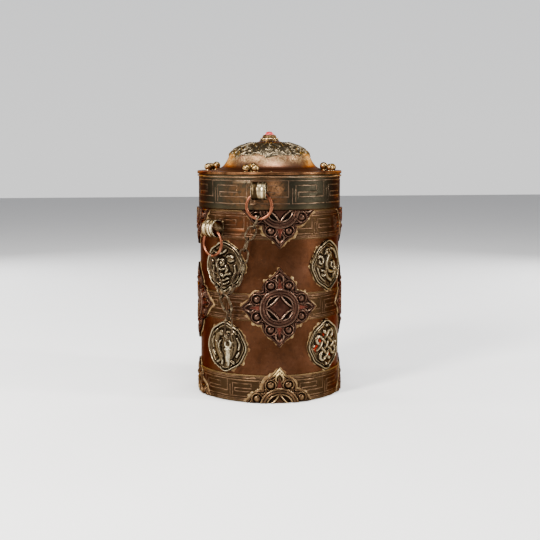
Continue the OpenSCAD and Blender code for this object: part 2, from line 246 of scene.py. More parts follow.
def join(parts):
    """Several (verts, faces, attrs) as one."""
    V, F, A, off = [], [], {}, 0
    keys = set(k for p in parts for k in (p[2] if len(p) > 2 else {}))
    for p in parts:
        v, f = np.asarray(p[0], float).reshape(-1, 3), p[1]
        a = p[2] if len(p) > 2 else {}
        V.append(v)
        F += [[q + off for q in face] for face in (f.tolist() if hasattr(f, "tolist") else f)]
        for k in keys:
            A.setdefault(k, []).append(np.asarray(a.get(k, np.zeros(len(v))), float).ravel())
        off += len(v)
    return np.vstack(V), F, {k: np.concatenate(v) for k, v in A.items()}


def lathe(profile, n=256, wob=0.0, seed=0, close=True):
    """Turns (r, z) points about Z. The profile goes round the section, closed."""
    p = np.asarray(profile, float)
    a = np.linspace(0, 2 * PI, n, endpoint=False)
    P, A = np.meshgrid(np.arange(len(p)), a, indexing="ij")
    r, z = p[P, 0], p[P, 1]
    if wob:
        r = r + wob * noise(np.cos(A) * 3 + 9, np.sin(A) * 3 + 9, z / 30, seed) * (p[P, 0] > 1)
    V = np.stack([r * np.sin(A), -r * np.cos(A), z], -1).reshape(-1, 3)
    F = grid_faces(len(p), n, wrap_u=close, wrap_v=True)[:, ::-1]
    return V, F


def tube_wire(path, radius, sides=12, closed=True, up=(0, 0, 1)):
    """Sweeps a round section along points. radius may be one number or one for each point."""
    P = np.asarray(path, float)
    n = len(P)
    R = np.broadcast_to(np.asarray(radius, float), (n,)) if np.ndim(radius) < 2 else radius
    if closed:
        T = np.roll(P, -1, 0) - np.roll(P, 1, 0)
    else:
        T = np.gradient(P, axis=0)
    T /= np.linalg.norm(T, axis=1)[:, None]
    N = np.zeros_like(P)
    u = np.asarray(up, float)
    u = u - T[0] * (u @ T[0])
    if np.linalg.norm(u) < 1e-4:
        u = np.cross(T[0], [1, 0.3, 0.2])
    N[0] = u / np.linalg.norm(u)
    for i in range(1, n):
        v = N[i - 1] - T[i] * (N[i - 1] @ T[i])
        N[i] = v / np.linalg.norm(v)
    if closed:
        v = N[-1] - T[0] * (N[-1] @ T[0])
        v /= np.linalg.norm(v)
        ang = math.atan2(np.cross(v, N[0]) @ T[0], v @ N[0])
        for i in range(n):
            th = ang * i / n
            N[i] = N[i] * math.cos(th) + np.cross(T[i], N[i]) * math.sin(th)
    B = np.cross(T, N)
    a = np.linspace(0, 2 * PI, sides, endpoint=False)
    V = P[:, None] + (N[:, None] * np.cos(a)[None, :, None] + B[:, None] * np.sin(a)[None, :, None]) * R[:, None, None]
    F = grid_faces(n, sides, wrap_u=closed, wrap_v=True)
    V = V.reshape(-1, 3)
    if not closed:
        V = np.vstack([V, P[0], P[-1]])
        F = F.tolist()
        for j in range(sides):
            F.append([n * sides, (j + 1) % sides, j])
            F.append([n * sides + 1, (n - 1) * sides + j, (n - 1) * sides + (j + 1) % sides])
    return V, F


def patch(outline, origin, rings, height, az, zc, edge=0.5, tuck=0.0, base=WALL, jitter=None, power=0.8):
    """A relief plate inside an outline around a point that sees all of it. height(x, y) gives the relief and its attributes."""
    o = np.asarray(outline, float)
    c = np.asarray(origin, float)
    n = len(o)
    u = (np.arange(1, rings + 1) / rings) ** power
    X = c[0] + u[:, None] * (o[None, :, 0] - c[0])
    Y = c[1] + u[:, None] * (o[None, :, 1] - c[1])
    x = np.r_[c[0], X.ravel()]
    y = np.r_[c[1], Y.ravel()]
    h, at = height(x, y)
    # the plate's edge: a rounded step down to the wall
    m = len(x)
    hx, hy, hh = o[:, 0], o[:, 1], h[m - n:]
    d = o - np.roll(o, 1, 0)
    d2 = np.roll(o, -1, 0) - o
    nrm = np.stack([(d + d2)[:, 1], -(d + d2)[:, 0]], -1)
    nrm /= np.linalg.norm(nrm, axis=1)[:, None] + 1e-9
    area = 0.5 * np.sum(o[:, 0] * np.roll(o[:, 1], -1) - np.roll(o[:, 0], -1) * o[:, 1])
    if area < 0:
        nrm = -nrm
    xs, ys, hs = [x], [y], [h]
    for k, (out, fr) in enumerate(((0.10, 0.8), (0.16, 0.4), (0.16, 0.0))):
        xs.append(hx + nrm[:, 0] * out)
        ys.append(hy + nrm[:, 1] * out)
        hs.append(hh * fr + (tuck if k == 2 else 0))
    x, y, h = np.concatenate(xs), np.concatenate(ys), np.concatenate(hs)
    at = {k: np.concatenate([v, v[m - n:], v[m - n:] * 0.5, v[m - n:] * 0]) for k, v in at.items()}
    if jitter is not None:
        jx, jy, jh = jitter(x, y)
        x, y, h = x + jx, y + jy, h + jh * (np.arange(len(h)) < m)
    V = on_wall(x, zc + y, h, az, base)
    F = [[0, 1 + j, 1 + (j + 1) % n] for j in range(n)]
    F += (grid_faces(rings + 3, n, wrap_v=True) + 1).tolist()
    if area < 0:
        F = [f[::-1] for f in F]
    return V, F, at


# ---------------------------------------------------------------- materials
def nodes_of(mat):
    mat.use_nodes = True
    nt = mat.node_tree
    nt.nodes.clear()
    out = nt.nodes.new("ShaderNodeOutputMaterial")
    b = nt.nodes.new("ShaderNodeBsdfPrincipled")
    nt.links.new(b.outputs[0], out.inputs[0])
    return nt, b


class Mat:
    """Short names for the nodes that the materials share."""

    def __init__(self, name, metallic=1.0, spec=0.5, k=None, edge=(0.46, 0.37, 0.31)):
        self.k = k or ((0.50, 0.42, 0.35) if metallic > 0.5 else (1, 1, 1))
        self.mat = bpy.data.materials.new(name)
        self.nt, self.b = nodes_of(self.mat)
        self.b.inputs["Metallic"].default_value = metallic
        self.b.inputs["Specular IOR Level"].default_value = spec
        if metallic > 0.5:
            self.b.inputs["Specular Tint"].default_value = (*edge, 1)
        self.co = self.node("ShaderNodeTexCoord").outputs["Object"]

    def node(self, kind, **props):
        n = self.nt.nodes.new(kind)
        for k, v in props.items():
            setattr(n, k, v)
        return n

    def put(self, socket, v):
        if isinstance(v, (tuple, list)) and len(v) == 3 and socket.type == "RGBA":
            v = [q * w for q, w in zip(v, self.k)]
        if isinstance(v, bpy.types.NodeSocket):
            self.nt.links.new(v, socket)
        elif isinstance(v, (tuple, list)) and len(v) == 3 and socket.type == "RGBA":
            socket.default_value = (*v, 1)
        else:
            socket.default_value = v

    def attr(self, name):
        return self.node("ShaderNodeAttribute", attribute_name=name, attribute_type="GEOMETRY").outputs["Fac"]

    def noise(self, scale, detail=4, rough=0.6, dist=0.0, stretch=None, seed=0.0):
        """Noise at features of a size in millimetres."""
        n = self.node("ShaderNodeTexNoise", noise_dimensions="4D")
        n.inputs["W"].default_value = seed
        n.inputs["Scale"].default_value = 1000.0 / scale
        n.inputs["Detail"].default_value = detail
        n.inputs["Roughness"].default_value = rough
        n.inputs["Distortion"].default_value = dist
        co = self.co
        if stretch:
            m = self.node("ShaderNodeMapping")
            m.inputs["Scale"].default_value = stretch
            self.nt.links.new(co, m.inputs[0])
            co = m.outputs[0]
        self.nt.links.new(co, n.inputs["Vector"])
        return n.outputs["Fac"]

    def ramp(self, fac, stops, interp="LINEAR"):
        r = self.node("ShaderNodeValToRGB")
        r.color_ramp.interpolation = interp
        el = r.color_ramp.elements
        while len(el) < len(stops):
            el.new(0.5)
        for e, (p, c) in zip(el, stops):
            e.position = p
            c = (c, c, c) if isinstance(c, (int, float)) else [q * w for q, w in zip(c, self.k)]
            e.color = (*c, 1)
        self.put(r.inputs[0], fac)
        return r.outputs[0]

    def mix(self, fac, a, b, mode="MIX"):
        m = self.node("ShaderNodeMix", data_type="RGBA", blend_type=mode)
        self.put(m.inputs[0], fac)
        self.put(m.inputs[6], a)
        self.put(m.inputs[7], b)
        return m.outputs[2]

    def math(self, op, a, b=0.0, clamp=False):
        m = self.node("ShaderNodeMath", operation=op, use_clamp=clamp)
        self.put(m.inputs[0], a)
        self.put(m.inputs[1], b)
        return m.outputs[0]

    def span(self, v, a, b, c=0.0, d=1.0):
        m = self.node("ShaderNodeMapRange")
        self.put(m.inputs[0], v)
        for k, q in zip((1, 2, 3, 4), (a, b, c, d)):
            m.inputs[k].default_value = q
        return m.outputs[0]

    def axis(self, k):
        return self.nt.nodes.new("ShaderNodeSeparateXYZ") if False else self._axis(k)

    def _axis(self, k):
        s = self.node("ShaderNodeSeparateXYZ")
        self.nt.links.new(self.co, s.inputs[0])
        return s.outputs[k]

    def near(self, p, r0, r1):
        """1 near a point in millimetres, falling to 0 between two distances."""
        v = self.node("ShaderNodeVectorMath", operation="DISTANCE")
        self.nt.links.new(self.co, v.inputs[0])
        v.inputs[1].default_value = [q * 0.001 for q in p]
        return self.span(v.outputs["Value"], r0 * 0.001, r1 * 0.001, 1.0, 0.0)

    def bump(self, height, strength=0.3, dist=0.2):
        b = self.node("ShaderNodeBump")
        b.inputs["Strength"].default_value = strength
        b.inputs["Distance"].default_value = dist * 0.001
        self.put(b.inputs["Height"], height)
        if self.b.inputs["Normal"].is_linked:
            self.nt.links.new(self.b.inputs["Normal"].links[0].from_socket, b.inputs["Normal"])
        self.nt.links.new(b.outputs[0], self.b.inputs["Normal"])
        return self

    def finish(self, color, rough):
        self.put(self.b.inputs["Base Color"], color)
        self.put(self.b.inputs["Roughness"], rough)
        return self.mat


def relief_metal(name, dark, mid, light, peak, rough=(0.55, 0.28), red=None, grain=1.6, dirt=0.5, metallic=1.0, k=(1, 1, 1), gold=()):
    """Metal whose recesses are dark with painted shade and some dirt and whose ridges are bright with painted highlight
    and some wear. It reads the attribute ht.
    """
    m = Mat(name, metallic, k=k)
    h = m.attr("ht")
    n1 = m.noise(2.2, 5, 0.65)
    n2 = m.noise(9, 3, 0.5, seed=3)
    f = m.math("ADD", h, m.math("MULTIPLY", m.math("SUBTRACT", n1, 0.5), 0.38))
    f = m.math("ADD", f, m.math("MULTIPLY", m.math("SUBTRACT", n2, 0.5), 0.22))
    # the ramp along ht: dark is painted shade in the recesses, light and peak are painted highlight on the ridges
    col = m.ramp(f, [(0.06, dark), (0.36, mid), (0.70, light), (0.97, peak)])
    spots = m.ramp(m.noise(0.9, 3, 0.7, seed=5), [(0.35, 0.0), (0.62, 1.0)])
    col = m.mix(m.math("MULTIPLY", spots, dirt * 0.5), col, m.mix(0.5, col, dark))
    if red:
        col = m.mix(m.math("MULTIPLY", m.attr("red"), m.ramp(m.noise(1.3, 4, 0.7, seed=9), [(0.32, 0.25), (0.55, 0.95)])), col, red)
    for p, r0, r1, c in gold:
        w = m.math("MULTIPLY", m.near(p, r0, r1), m.ramp(m.noise(1.8, 5, 0.7, seed=23), [(0.34, 0.15), (0.52, 0.95)]))
        col = m.mix(m.math("MULTIPLY", w, m.span(h, 0.15, 0.55)), col, c)
    r = m.span(f, 0.1, 0.95, rough[0], rough[1])
    m.bump(m.noise(grain, 5, 0.7, seed=7), 0.35, 0.12)
    return m.finish(col, r)


def plain_metal(name, colors, rough=(0.3, 0.5), scale=14, grain=1.0, bump=0.15, streak=None, metallic=1.0, dirt=None, k=None):
    m = Mat(name, metallic, k=k)
    n1 = m.noise(scale, 6, 0.62, 0.4, stretch=streak)
    n2 = m.noise(scale * 0.18, 4, 0.6, seed=4, stretch=streak)
    f = m.math("ADD", m.math("MULTIPLY", n1, 0.72), m.math("MULTIPLY", n2, 0.28))
    k = len(colors) - 1
    col = m.ramp(f, [(0.30 + 0.42 * i / k, c) for i, c in enumerate(colors)])
    if dirt:
        col = m.mix(m.ramp(m.noise(scale * 0.35, 5, 0.7, seed=8), [(0.42, 0.0), (0.66, 0.85)]), col, dirt)
    m.bump(m.noise(grain, 4, 0.6, seed=2), bump, 0.1)
    return m.finish(col, m.span(n2, 0.3, 0.7, rough[0], rough[1]))


def copper_wall():
    """Warm red-brown satin copper with cloudy patina, fine turning marks and darker stains near the ornament."""
    m = Mat("copper_wall_mat", 1.0, k=(0.215, 0.190, 0.185))
    big = m.noise(38, 4, 0.55, 0.6)
    mid = m.noise(11, 5, 0.6, 0.3, seed=2)
    fine = m.noise(2.4, 5, 0.7, seed=6)
    f = m.math("ADD", m.math("MULTIPLY", big, 0.5), m.math("ADD", m.math("MULTIPLY", mid, 0.34), m.math("MULTIPLY", fine, 0.16)))
    col = m.ramp(f, [(0.30, (0.075, 0.030, 0.012)), (0.45, (0.150, 0.062, 0.026)), (0.56, (0.215, 0.095, 0.045)), (0.72, (0.300, 0.150, 0.085))])
    stains = m.ramp(m.noise(6, 6, 0.75, 1.2, seed=11), [(0.50, 0.0), (0.72, 0.8)])
    col = m.mix(stains, col, (0.07, 0.04, 0.022))
    flecks = m.ramp(m.noise(1.1, 2, 0.5, seed=13), [(0.68, 0.0), (0.74, 0.6)])
    col = m.mix(flecks, col, (0.42, 0.26, 0.14))
    m.bump(m.noise(26, 3, 0.5, seed=20), 0.35, 1.2)
    m.bump(m.noise(0.7, 4, 0.7, seed=15, stretch=(0.35, 0.35, 1.6)), 0.10, 0.08)
    return m.finish(col, m.span(f, 0.3, 0.7, 0.46, 0.34))


def band_metal(name, ground, line, worn=None, edge_gold=0.0, patina=(0.10, 0.10, 0.07), k=(0.185, 0.160, 0.150)):
    """Engraved brass: the attribute line marks the engraving, whose cuts show brighter metal."""
    m = Mat(name, 1.0, k=k)
    big = m.noise(20, 4, 0.6, 0.5)
    fine = m.noise(2.0, 5, 0.7, seed=3)
    brushed = m.noise(5, 4, 0.65, seed=7, stretch=(0.5, 0.5, 6.0))
    f = m.math("ADD", m.math("MULTIPLY", big, 0.55), m.math("ADD", m.math("MULTIPLY", fine, 0.2), m.math("MULTIPLY", brushed, 0.25)))
    col = m.ramp(f, [(0.32, ground[0]), (0.5, ground[1]), (0.68, ground[2])])
    col = m.mix(m.ramp(m.noise(7, 5, 0.7, 0.8, seed=12), [(0.45, 0.0), (0.7, 0.7)]), col, patina)
    if worn:
        for p, r0, r1, c in worn:
            w = m.math("MULTIPLY", m.near(p, r0, r1), m.ramp(m.noise(3.2, 6, 0.75, 0.6, seed=21), [(0.40, 0.06), (0.56, 0.95)]))
            col = m.mix(w, col, c)
    lw = m.math("MULTIPLY", m.attr("line"), m.ramp(m.noise(5, 4, 0.6, seed=17), [(0.36, 0.25), (0.58, 1.0)]))
    col = m.mix(lw, col, line)
    col = m.mix(m.math("MULTIPLY", m.attr("edge"), edge_gold), col, (0.72, 0.52, 0.24))
    m.bump(m.noise(1.2, 4, 0.7, seed=9), 0.14, 0.08)
    return m.finish(col, m.span(f, 0.3, 0.7, 0.5, 0.36))


def solder_mat():
    m = Mat("solder_mat", 0.75)
    f = m.noise(2.0, 5, 0.7)
    m.k = (0.42, 0.37, 0.31)
    col = m.ramp(f, [(0.3, (0.16, 0.10, 0.045)), (0.48, (0.36, 0.26, 0.13)), (0.66, (0.62, 0.50, 0.30))])
    col = m.mix(m.ramp(m.noise(5, 4, 0.6, seed=4), [(0.4, 0.0), (0.62, 0.75)]), col, (0.15, 0.07, 0.03))
    m.bump(m.noise(0.8, 4, 0.7, seed=2), 0.5, 0.15)
    return m.finish(col, m.span(f, 0.3, 0.7, 0.55, 0.35))


MAT_WALL = copper_wall()
# the dark and peak colours below are painted shade in the recesses and painted highlight on the ridges, laid on through
# ht
MAT_PLAQUE = relief_metal("plaque_mat", (0.006, 0.004, 0.003), (0.034, 0.014, 0.009), (0.075, 0.036, 0.024), (0.230, 0.140, 0.095), (0.42, 0.22), red=(0.150, 0.040, 0.026), k=(0.58, 0.60, 0.60))
MAT_PLAQUE_LOW = relief_metal("plaque_low_mat", (0.008, 0.005, 0.003), (0.040, 0.020, 0.011), (0.105, 0.060, 0.030), (0.36, 0.24, 0.12), (0.42, 0.22), red=(0.12, 0.036, 0.022), k=(0.58, 0.56, 0.54),
                             gold=[(tuple(pol(0, 54.5, 25.5)), 1.0, 8.0, (1.3, 0.95, 0.42)), (tuple(pol(-26, 54.0, 9.0)), 1.0, 6.0, (0.8, 0.6, 0.3))])
MAT_SILVER = relief_metal("white_metal_mat", (0.012, 0.008, 0.005), (0.080, 0.058, 0.034), (0.22, 0.172, 0.105), (0.60, 0.53, 0.37), (0.38, 0.17), red=(0.50, 0.035, 0.016), k=(0.40, 0.365, 0.325))
MAT_COLLAR = relief_metal("collar_mat", (0.040, 0.032, 0.021), (0.088, 0.071, 0.047), (0.120, 0.098, 0.064), (0.21, 0.165, 0.10), (0.5, 0.28), k=(0.9, 0.86, 0.82))
MAT_SOLDER = solder_mat()
def loop_mat():
    m = Mat("loop_strap_mat", 1.0, k=(0.62, 0.58, 0.52))
    st = m.attr("streak")
    # streak carries real streaks and painted shade on the underside of the roll
    f = m.math("ADD", m.math("MULTIPLY", st, 0.72), m.math("MULTIPLY", m.noise(1.6, 5, 0.7, seed=3), 0.28))
    col = m.ramp(f, [(0.26, (0.035, 0.022, 0.010)), (0.42, (0.20, 0.15, 0.085)), (0.58, (0.46, 0.38, 0.24)), (0.78, (0.92, 0.84, 0.62))])
    # inner: painted shade inside the roll and painted shadow on the soldered foot behind it
    col = m.mix(m.attr("inner"), col, (0.030, 0.018, 0.010))
    col = m.mix(m.math("MULTIPLY", m.attr("rim"), 0.75), col, (0.80, 0.72, 0.52))
    m.bump(m.noise(0.9, 4, 0.6, seed=2), 0.2, 0.1)
    return m.finish(col, m.span(f, 0.3, 0.7, 0.42, 0.24))


MAT_LOOP = loop_mat()
MAT_RING = plain_metal("ring_mat", [(0.10, 0.035, 0.018), (0.32, 0.12, 0.065), (0.50, 0.24, 0.15)], (0.28, 0.42), 7, 1.0, 0.2, k=(0.48, 0.44, 0.42))
MAT_CHAIN = plain_metal("chain_mat", [(0.012, 0.008, 0.005), (0.045, 0.030, 0.018), (0.26, 0.21, 0.13)], (0.24, 0.42), 4, 0.7, 0.35, k=(1, 1, 1))
MAT_PIN = plain_metal("pin_mat", [(0.16, 0.13, 0.08), (0.44, 0.39, 0.28), (0.72, 0.67, 0.54)], (0.22, 0.38), 4, 0.7, 0.25, dirt=(0.09, 0.06, 0.03), k=(0.85, 0.82, 0.76))
MAT_BEAD = plain_metal("bead_mat", [(0.20, 0.13, 0.05), (0.55, 0.42, 0.21), (0.86, 0.76, 0.52)], (0.22, 0.40), 4, 0.8, 0.3, dirt=(0.11, 0.07, 0.03))
MAT_BEZEL = plain_metal("bezel_mat", [(0.05, 0.035, 0.018), (0.15, 0.11, 0.055), (0.36, 0.27, 0.14)], (0.3, 0.5), 4, 0.7, 0.3)
MAT_GOLDRING = plain_metal("goldring_mat", [(0.34, 0.25, 0.11), (0.72, 0.60, 0.34), (0.92, 0.84, 0.62)], (0.2, 0.34), 4, 0.8, 0.15)
MAT_FLANGE = plain_metal("wire_mat", [(0.10, 0.055, 0.03), (0.30, 0.20, 0.13), (0.62, 0.55, 0.44)], (0.3, 0.45), 12, 0.8, 0.2)


def wear_brass(name, a, b, c, rough):
    return plain_metal(name, [a, b, c], rough, 9, 0.9, 0.18)


MAT_BRASS = wear_brass("turned_brass_mat", (0.20, 0.13, 0.05), (0.42, 0.30, 0.13), (0.62, 0.47, 0.22), (0.28, 0.42))
MAT_FOOT = wear_brass("foot_mat", (0.10, 0.065, 0.03), (0.24, 0.17, 0.08), (0.40, 0.29, 0.14), (0.34, 0.5))
MAT_STEEL = plain_metal("steel_mat", [(0.20, 0.20, 0.21), (0.42, 0.42, 0.43), (0.60, 0.60, 0.60)], (0.22, 0.36), 12, 0.5, 0.1, streak=(3, 3, 0.4))


def dome_mat():
    """Pinkish bronze with a pale gold patina below the collar and a brown flange edge."""
    m = Mat("dome_mat", 1.0, k=(0.44, 0.37, 0.32))
    z = m._axis(2)
    f = m.math("ADD", m.math("MULTIPLY", m.noise(16, 5, 0.6, 0.5), 0.6), m.math("MULTIPLY", m.noise(3, 5, 0.7, seed=3), 0.4))
    col = m.ramp(f, [(0.34, (0.15, 0.068, 0.038)), (0.48, (0.32, 0.165, 0.105)), (0.64, (0.50, 0.29, 0.205))])
    zone = m.math("MULTIPLY", m.span(z, 0.1688, 0.1735), m.span(z, 0.1815, 0.1775))
    gold = m.math("MULTIPLY", zone, m.ramp(m.noise(4.5, 6, 0.75, 1.0, seed=5), [(0.36, 0.1), (0.54, 0.95)]))
    col = m.mix(gold, col, m.ramp(m.noise(1.4, 4, 0.7, seed=7), [(0.38, (0.26, 0.15, 0.075)), (0.58, (0.80, 0.62, 0.36))]))
    # darker where the dome rises from the flange: painted shade in the corner
    foot = m.math("MULTIPLY", m.span(z, 0.1700, 0.1672), m.span(z, 0.1656, 0.1668))
    col = m.mix(m.math("MULTIPLY", foot, 0.55), col, (0.16, 0.075, 0.045))
    edge = m.span(z, 0.16560, 0.16535)
    col = m.mix(edge, col, m.ramp(m.noise(9, 5, 0.65, 0.6, seed=31), [(0.36, (0.06, 0.03, 0.014)), (0.62, (0.26, 0.14, 0.07))]))
    m.bump(m.noise(10, 3, 0.5, seed=12), 0.3, 0.7)
    m.bump(m.noise(0.9, 4, 0.7, seed=13), 0.15, 0.08)
    return m.finish(col, m.span(f, 0.3, 0.7, 0.46, 0.30))


MAT_DOME = dome_mat()


def coral_mat():
    m = Mat("coral_mat", 0.0)
    f = m.noise(2.2, 4, 0.6, 0.5)
    col = m.ramp(f, [(0.3, (0.13, 0.002, 0.005)), (0.5, (0.27, 0.005, 0.010)), (0.72, (0.42, 0.025, 0.025))])
    m.b.inputs["Coat Weight"].default_value = 0.15
    m.b.inputs["Coat Roughness"].default_value = 0.2
    m.b.inputs["Subsurface Weight"].default_value = 0.12
    m.b.inputs["Subsurface Radius"].default_value = (0.002, 0.0006, 0.0005)
    m.b.inputs["Subsurface Scale"].default_value = 0.3
    m.bump(m.noise(0.6, 3, 0.6, seed=3), 0.08, 0.05)
    return m.finish(col, m.span(f, 0.3, 0.7, 0.34, 0.46))


MAT_CORAL = coral_mat()


# ---------------------------------------------------------------- walls, bands and skirts
def tube_profile(ri, ro, z0, z1, bevel=0.15, steps=1):
    zs = np.linspace(z0 + bevel, z1 - bevel, steps + 1)
    return [(ro, z) for z in zs] + [(ro - bevel, z1), (ri + bevel * 0.3, z1), (ri, z1 - bevel * 0.3), (ri, z0 + bevel * 0.3), (ri + bevel * 0.3, z0), (ro - bevel, z0)]


V, F = lathe(tube_profile(51.0, WALL, 0.6, 138.4, 0.2, 46), 288)
r = np.hypot(V[:, 0], V[:, 1])
a = np.arctan2(V[:, 0], -V[:, 1])
outer = r > 51.6
dent = 0.10 * fbm(np.cos(a) * 3.2 + 5, np.sin(a) * 3.2 + 5, V[:, 2] / 22, 3) - 0.06
k = np.where(outer, (r + dent) / r, 1.0)
V[:, 0] *= k
V[:, 1] *= k
build("drum_wall_skin", V, F, MAT_WALL, "drum", ["drum_wall"], sharp=40)


def fret_lines(unit, h, kind):
    """The lines of one unit of a key pattern, as x0, y0, x1, y1 in millimetres, with y up from the band's lower edge."""
    hooks = [(-1.1, 4.2, -1.1, 14.7), (1.4, 5.6, 1.4, 17.0), (1.4, 17.0, 18.8, 17.0), (18.8, 17.0, 18.8, 14.3), (-3.6, 20.4, 26.2, 20.4),
             (26.2, 20.4, 26.2, 9.0), (3.6, 9.0, 26.2, 9.0), (3.6, 9.0, 3.6, 12.2), (3.6, 12.2, 18.9, 12.2), (-1.1, 4.2, 26.9, 4.2)]
    if kind == 0:
        return hooks
    kx, lo, hi = unit / 30.2, 3.9, h - 3.9
    out = [(a * kx, lo + (b - 4.2) * (hi - lo) / 16.2, c * kx, lo + (d - 4.2) * (hi - lo) / 16.2) for a, b, c, d in hooks]
    return out + [(0, y, unit, y) for y in (1.3, 2.3, h - 2.3, h - 1.3)]


def key_band(name, r_out, r_in, z0, z1, units, mat, node, body, phase=0.0, kind=0, width=0.62, depth=0.26, margin=0.0, seed=0, rim=0.0):
    circ = 2 * PI * r_out
    unit = circ / units
    h = z1 - z0
    lines = fret_lines(unit, h, kind)
    rects = []
    for (xa, ya, xb, yb) in lines:
        q = width / 2 * (0.8 if kind and (ya < 3 or ya > h - 3) else 1.0)
        rects.append((min(xa, xb) - q, max(xa, xb) + q, min(ya, yb) - q, max(ya, yb) + q))
    b = 0.07
    xs, ys = set(), set()
    for (xa, xb, ya, yb) in rects:
        for q in (xa - b, xa + b, xb - b, xb + b):
            xs.add(round(q % unit, 3))
        for q in (ya - b, ya + b, yb - b, yb + b):
            ys.add(round(q, 3))
    xs |= set(np.round(np.arange(0, unit, 1.2), 3))
    ys |= set(np.round(np.linspace(0.25, h - 0.25, 9), 3)) | {0.0, 0.12, round(h - 0.12, 3), round(h, 3)}

    def thin(vals, eps):
        out = []
        for q in sorted(vals):
            if not out or q - out[-1] > eps:
                out.append(q)
        return out

    xs = np.array(thin(xs, 0.045))
    ys = np.array([q for q in thin(ys, 0.045) if 0 <= q <= h])
    # the engraving is drawn once for a unit, then repeated
    X, Y = np.meshgrid(xs, ys, indexing="ij")
    cut = np.zeros(X.shape)
    for (xa, xb, ya, yb) in rects:
        for sh in (-unit, 0, unit):
            dx = np.minimum(X - (xa + sh), (xb + sh) - X)
            dy = np.minimum(Y - ya, yb - Y)
            cut = np.maximum(cut, np.clip((np.minimum(dx, dy) + b) / (2 * b) + 0.001, 0, 1))
    S = np.concatenate([xs + k * unit for k in range(units)])
    CUT = np.tile(cut, (units, 1))
    SS, YY = np.meshgrid(S, ys, indexing="ij")
    ang = SS / r_out
    cx, sx = np.cos(ang) * r_out, np.sin(ang) * r_out
    wob = 0.16 * fbm(cx / 9 + 40, sx / 9 + 40, YY / 6, seed)
    wy = 0.16 * fbm(cx / 8 + 10, sx / 8 + 10, YY / 7, seed + 5) * smooth(0, 1.5, YY) * smooth(0, 1.5, h - YY)
    strength = 0.55 + 0.45 * smooth(-0.35, 0.25, fbm(cx / 7 + 70, sx / 7 + 70, YY / 5, seed + 9))
    surf = 0.04 * fbm(cx / 12 + 20, sx / 12 + 20, YY / 8, seed + 3)
    edge_lift = rim * (np.exp(-((h - YY) / 0.45) ** 2) + np.exp(-(YY / 0.45) ** 2))
    R = r_out - 0.06 + surf * 0.5 - depth * CUT * strength + edge_lift * 0.0
    R = np.where((YY <= 0.001) | (YY >= h - 0.001), R - 0.12, R)
    ang2 = ang + wob / r_out + math.radians(phase)
    Z = z0 + YY + wy
    outer_v = np.stack([R * np.sin(ang2), -R * np.cos(ang2), Z], -1).reshape(-1, 3)
    nu, nv = SS.shape
    Fo = grid_faces(nu, nv, wrap_u=True)
    # inner wall of the strip
    vi = np.stack([r_in * np.sin(ang2[:, 0]), -r_in * np.cos(ang2[:, 0]), np.full(nu, z0)], -1)
    vt = np.stack([r_in * np.sin(ang2[:, 0]), -r_in * np.cos(ang2[:, 0]), np.full(nu, z1)], -1)
    off = nu * nv
    i = np.arange(nu)
    j = (i + 1) % nu
    lo, hi = i * nv, i * nv + nv - 1
    Fb = np.stack([j * nv, i * nv, off + i, off + j], -1)
    Ft = np.stack([i * nv + nv - 1, j * nv + nv - 1, off + nu + j, off + nu + i], -1)
    Fi = np.stack([off + j, off + i, off + nu + i, off + nu + j], -1)
    line = np.concatenate([(CUT * strength).ravel(), np.zeros(2 * nu)])
    edge = np.concatenate([np.maximum(smooth(h - 0.7, h - 0.1, YY), 0.6 * smooth(0.5, 0.05, YY)).ravel(), np.ones(2 * nu)])
    return build(name, np.vstack([outer_v, vi, vt]), np.vstack([Fo, Fb, Ft, Fi]), mat, body, [node], {"line": line, "edge": edge}, sharp=50)


OLIVE = ((0.050, 0.044, 0.030), (0.105, 0.090, 0.062), (0.170, 0.145, 0.100))
BROWN = ((0.060, 0.036, 0.016), (0.130, 0.082, 0.040), (0.210, 0.140, 0.072))
loop_spot = tuple(pol(-9.0, LID, 150.0))
loop_spot2 = tuple(pol(-3.0, LID, 154.0))
MAT_LIDBAND = band_metal("lid_band_mat", OLIVE, (0.92, 0.57, 0.38), worn=[(loop_spot, 4, 17, (0.80, 0.34, 0.15)), (loop_spot2, 1, 7, (1.9, 0.90, 0.42)), (tuple(pol(-34, LID, 150)), 3, 14, (0.42, 0.20, 0.09))], edge_gold=0.25, patina=(0.075, 0.072, 0.052), k=(0.155, 0.155, 0.145))
MAT_BAND = band_metal("band_mat", BROWN, (0.66, 0.42, 0.27), worn=[(tuple(pol(-32, BAND, 128)), 4, 26, (0.22, 0.085, 0.035)), (tuple(pol(-30, BAND, 70)), 3, 22, (0.17, 0.07, 0.03))], edge_gold=0.45, patina=(0.085, 0.060, 0.034))
MAT_BAND_LOW = band_metal("band_low_mat", BROWN, (0.80, 0.53, 0.32), edge_gold=0.95, patina=(0.075, 0.055, 0.030))

key_band("lid_band_engraved", LID, 52.12, 139.1, 163.2, 11, MAT_LIDBAND, "lid_band", "lid", phase=11.28, kind=0, seed=11)
key_band("top_band_engraved", BAND, 52.02, 117.8, 138.4, 13, MAT_BAND, "top_band", "drum", phase=31.0, kind=1, width=0.58, seed=21)
key_band("middle_band_engraved", BAND, 52.02, 59.6, 79.2, 13, MAT_BAND, "middle_band", "drum", phase=40.0, kind=1, width=0.58, seed=31)
key_band("bottom_band_engraved", BAND, 52.02, 0.6, 20.3, 13, MAT_BAND_LOW, "bottom_band", "drum", phase=-67.5, kind=1, width=0.58, seed=41)

V, F = lathe(tube_profile(51.28, 52.08, 139.0, 163.3, 0.12, 8), 256)
build("lid_skirt_skin", V, F, MAT_WALL, "lid", ["lid_skirt"], sharp=40)

# ---------------------------------------------------------------- lobed plaques
LOBE = [(12.1, 12.1), (13.8, 12.35), (16.4, 11.7), (18.8, 10.3), (20.7, 8.3), (22.1, 6.1), (23.7, 4.1), (25.8, 2.3), (27.5, 0.9), (28.6, 0.0)]


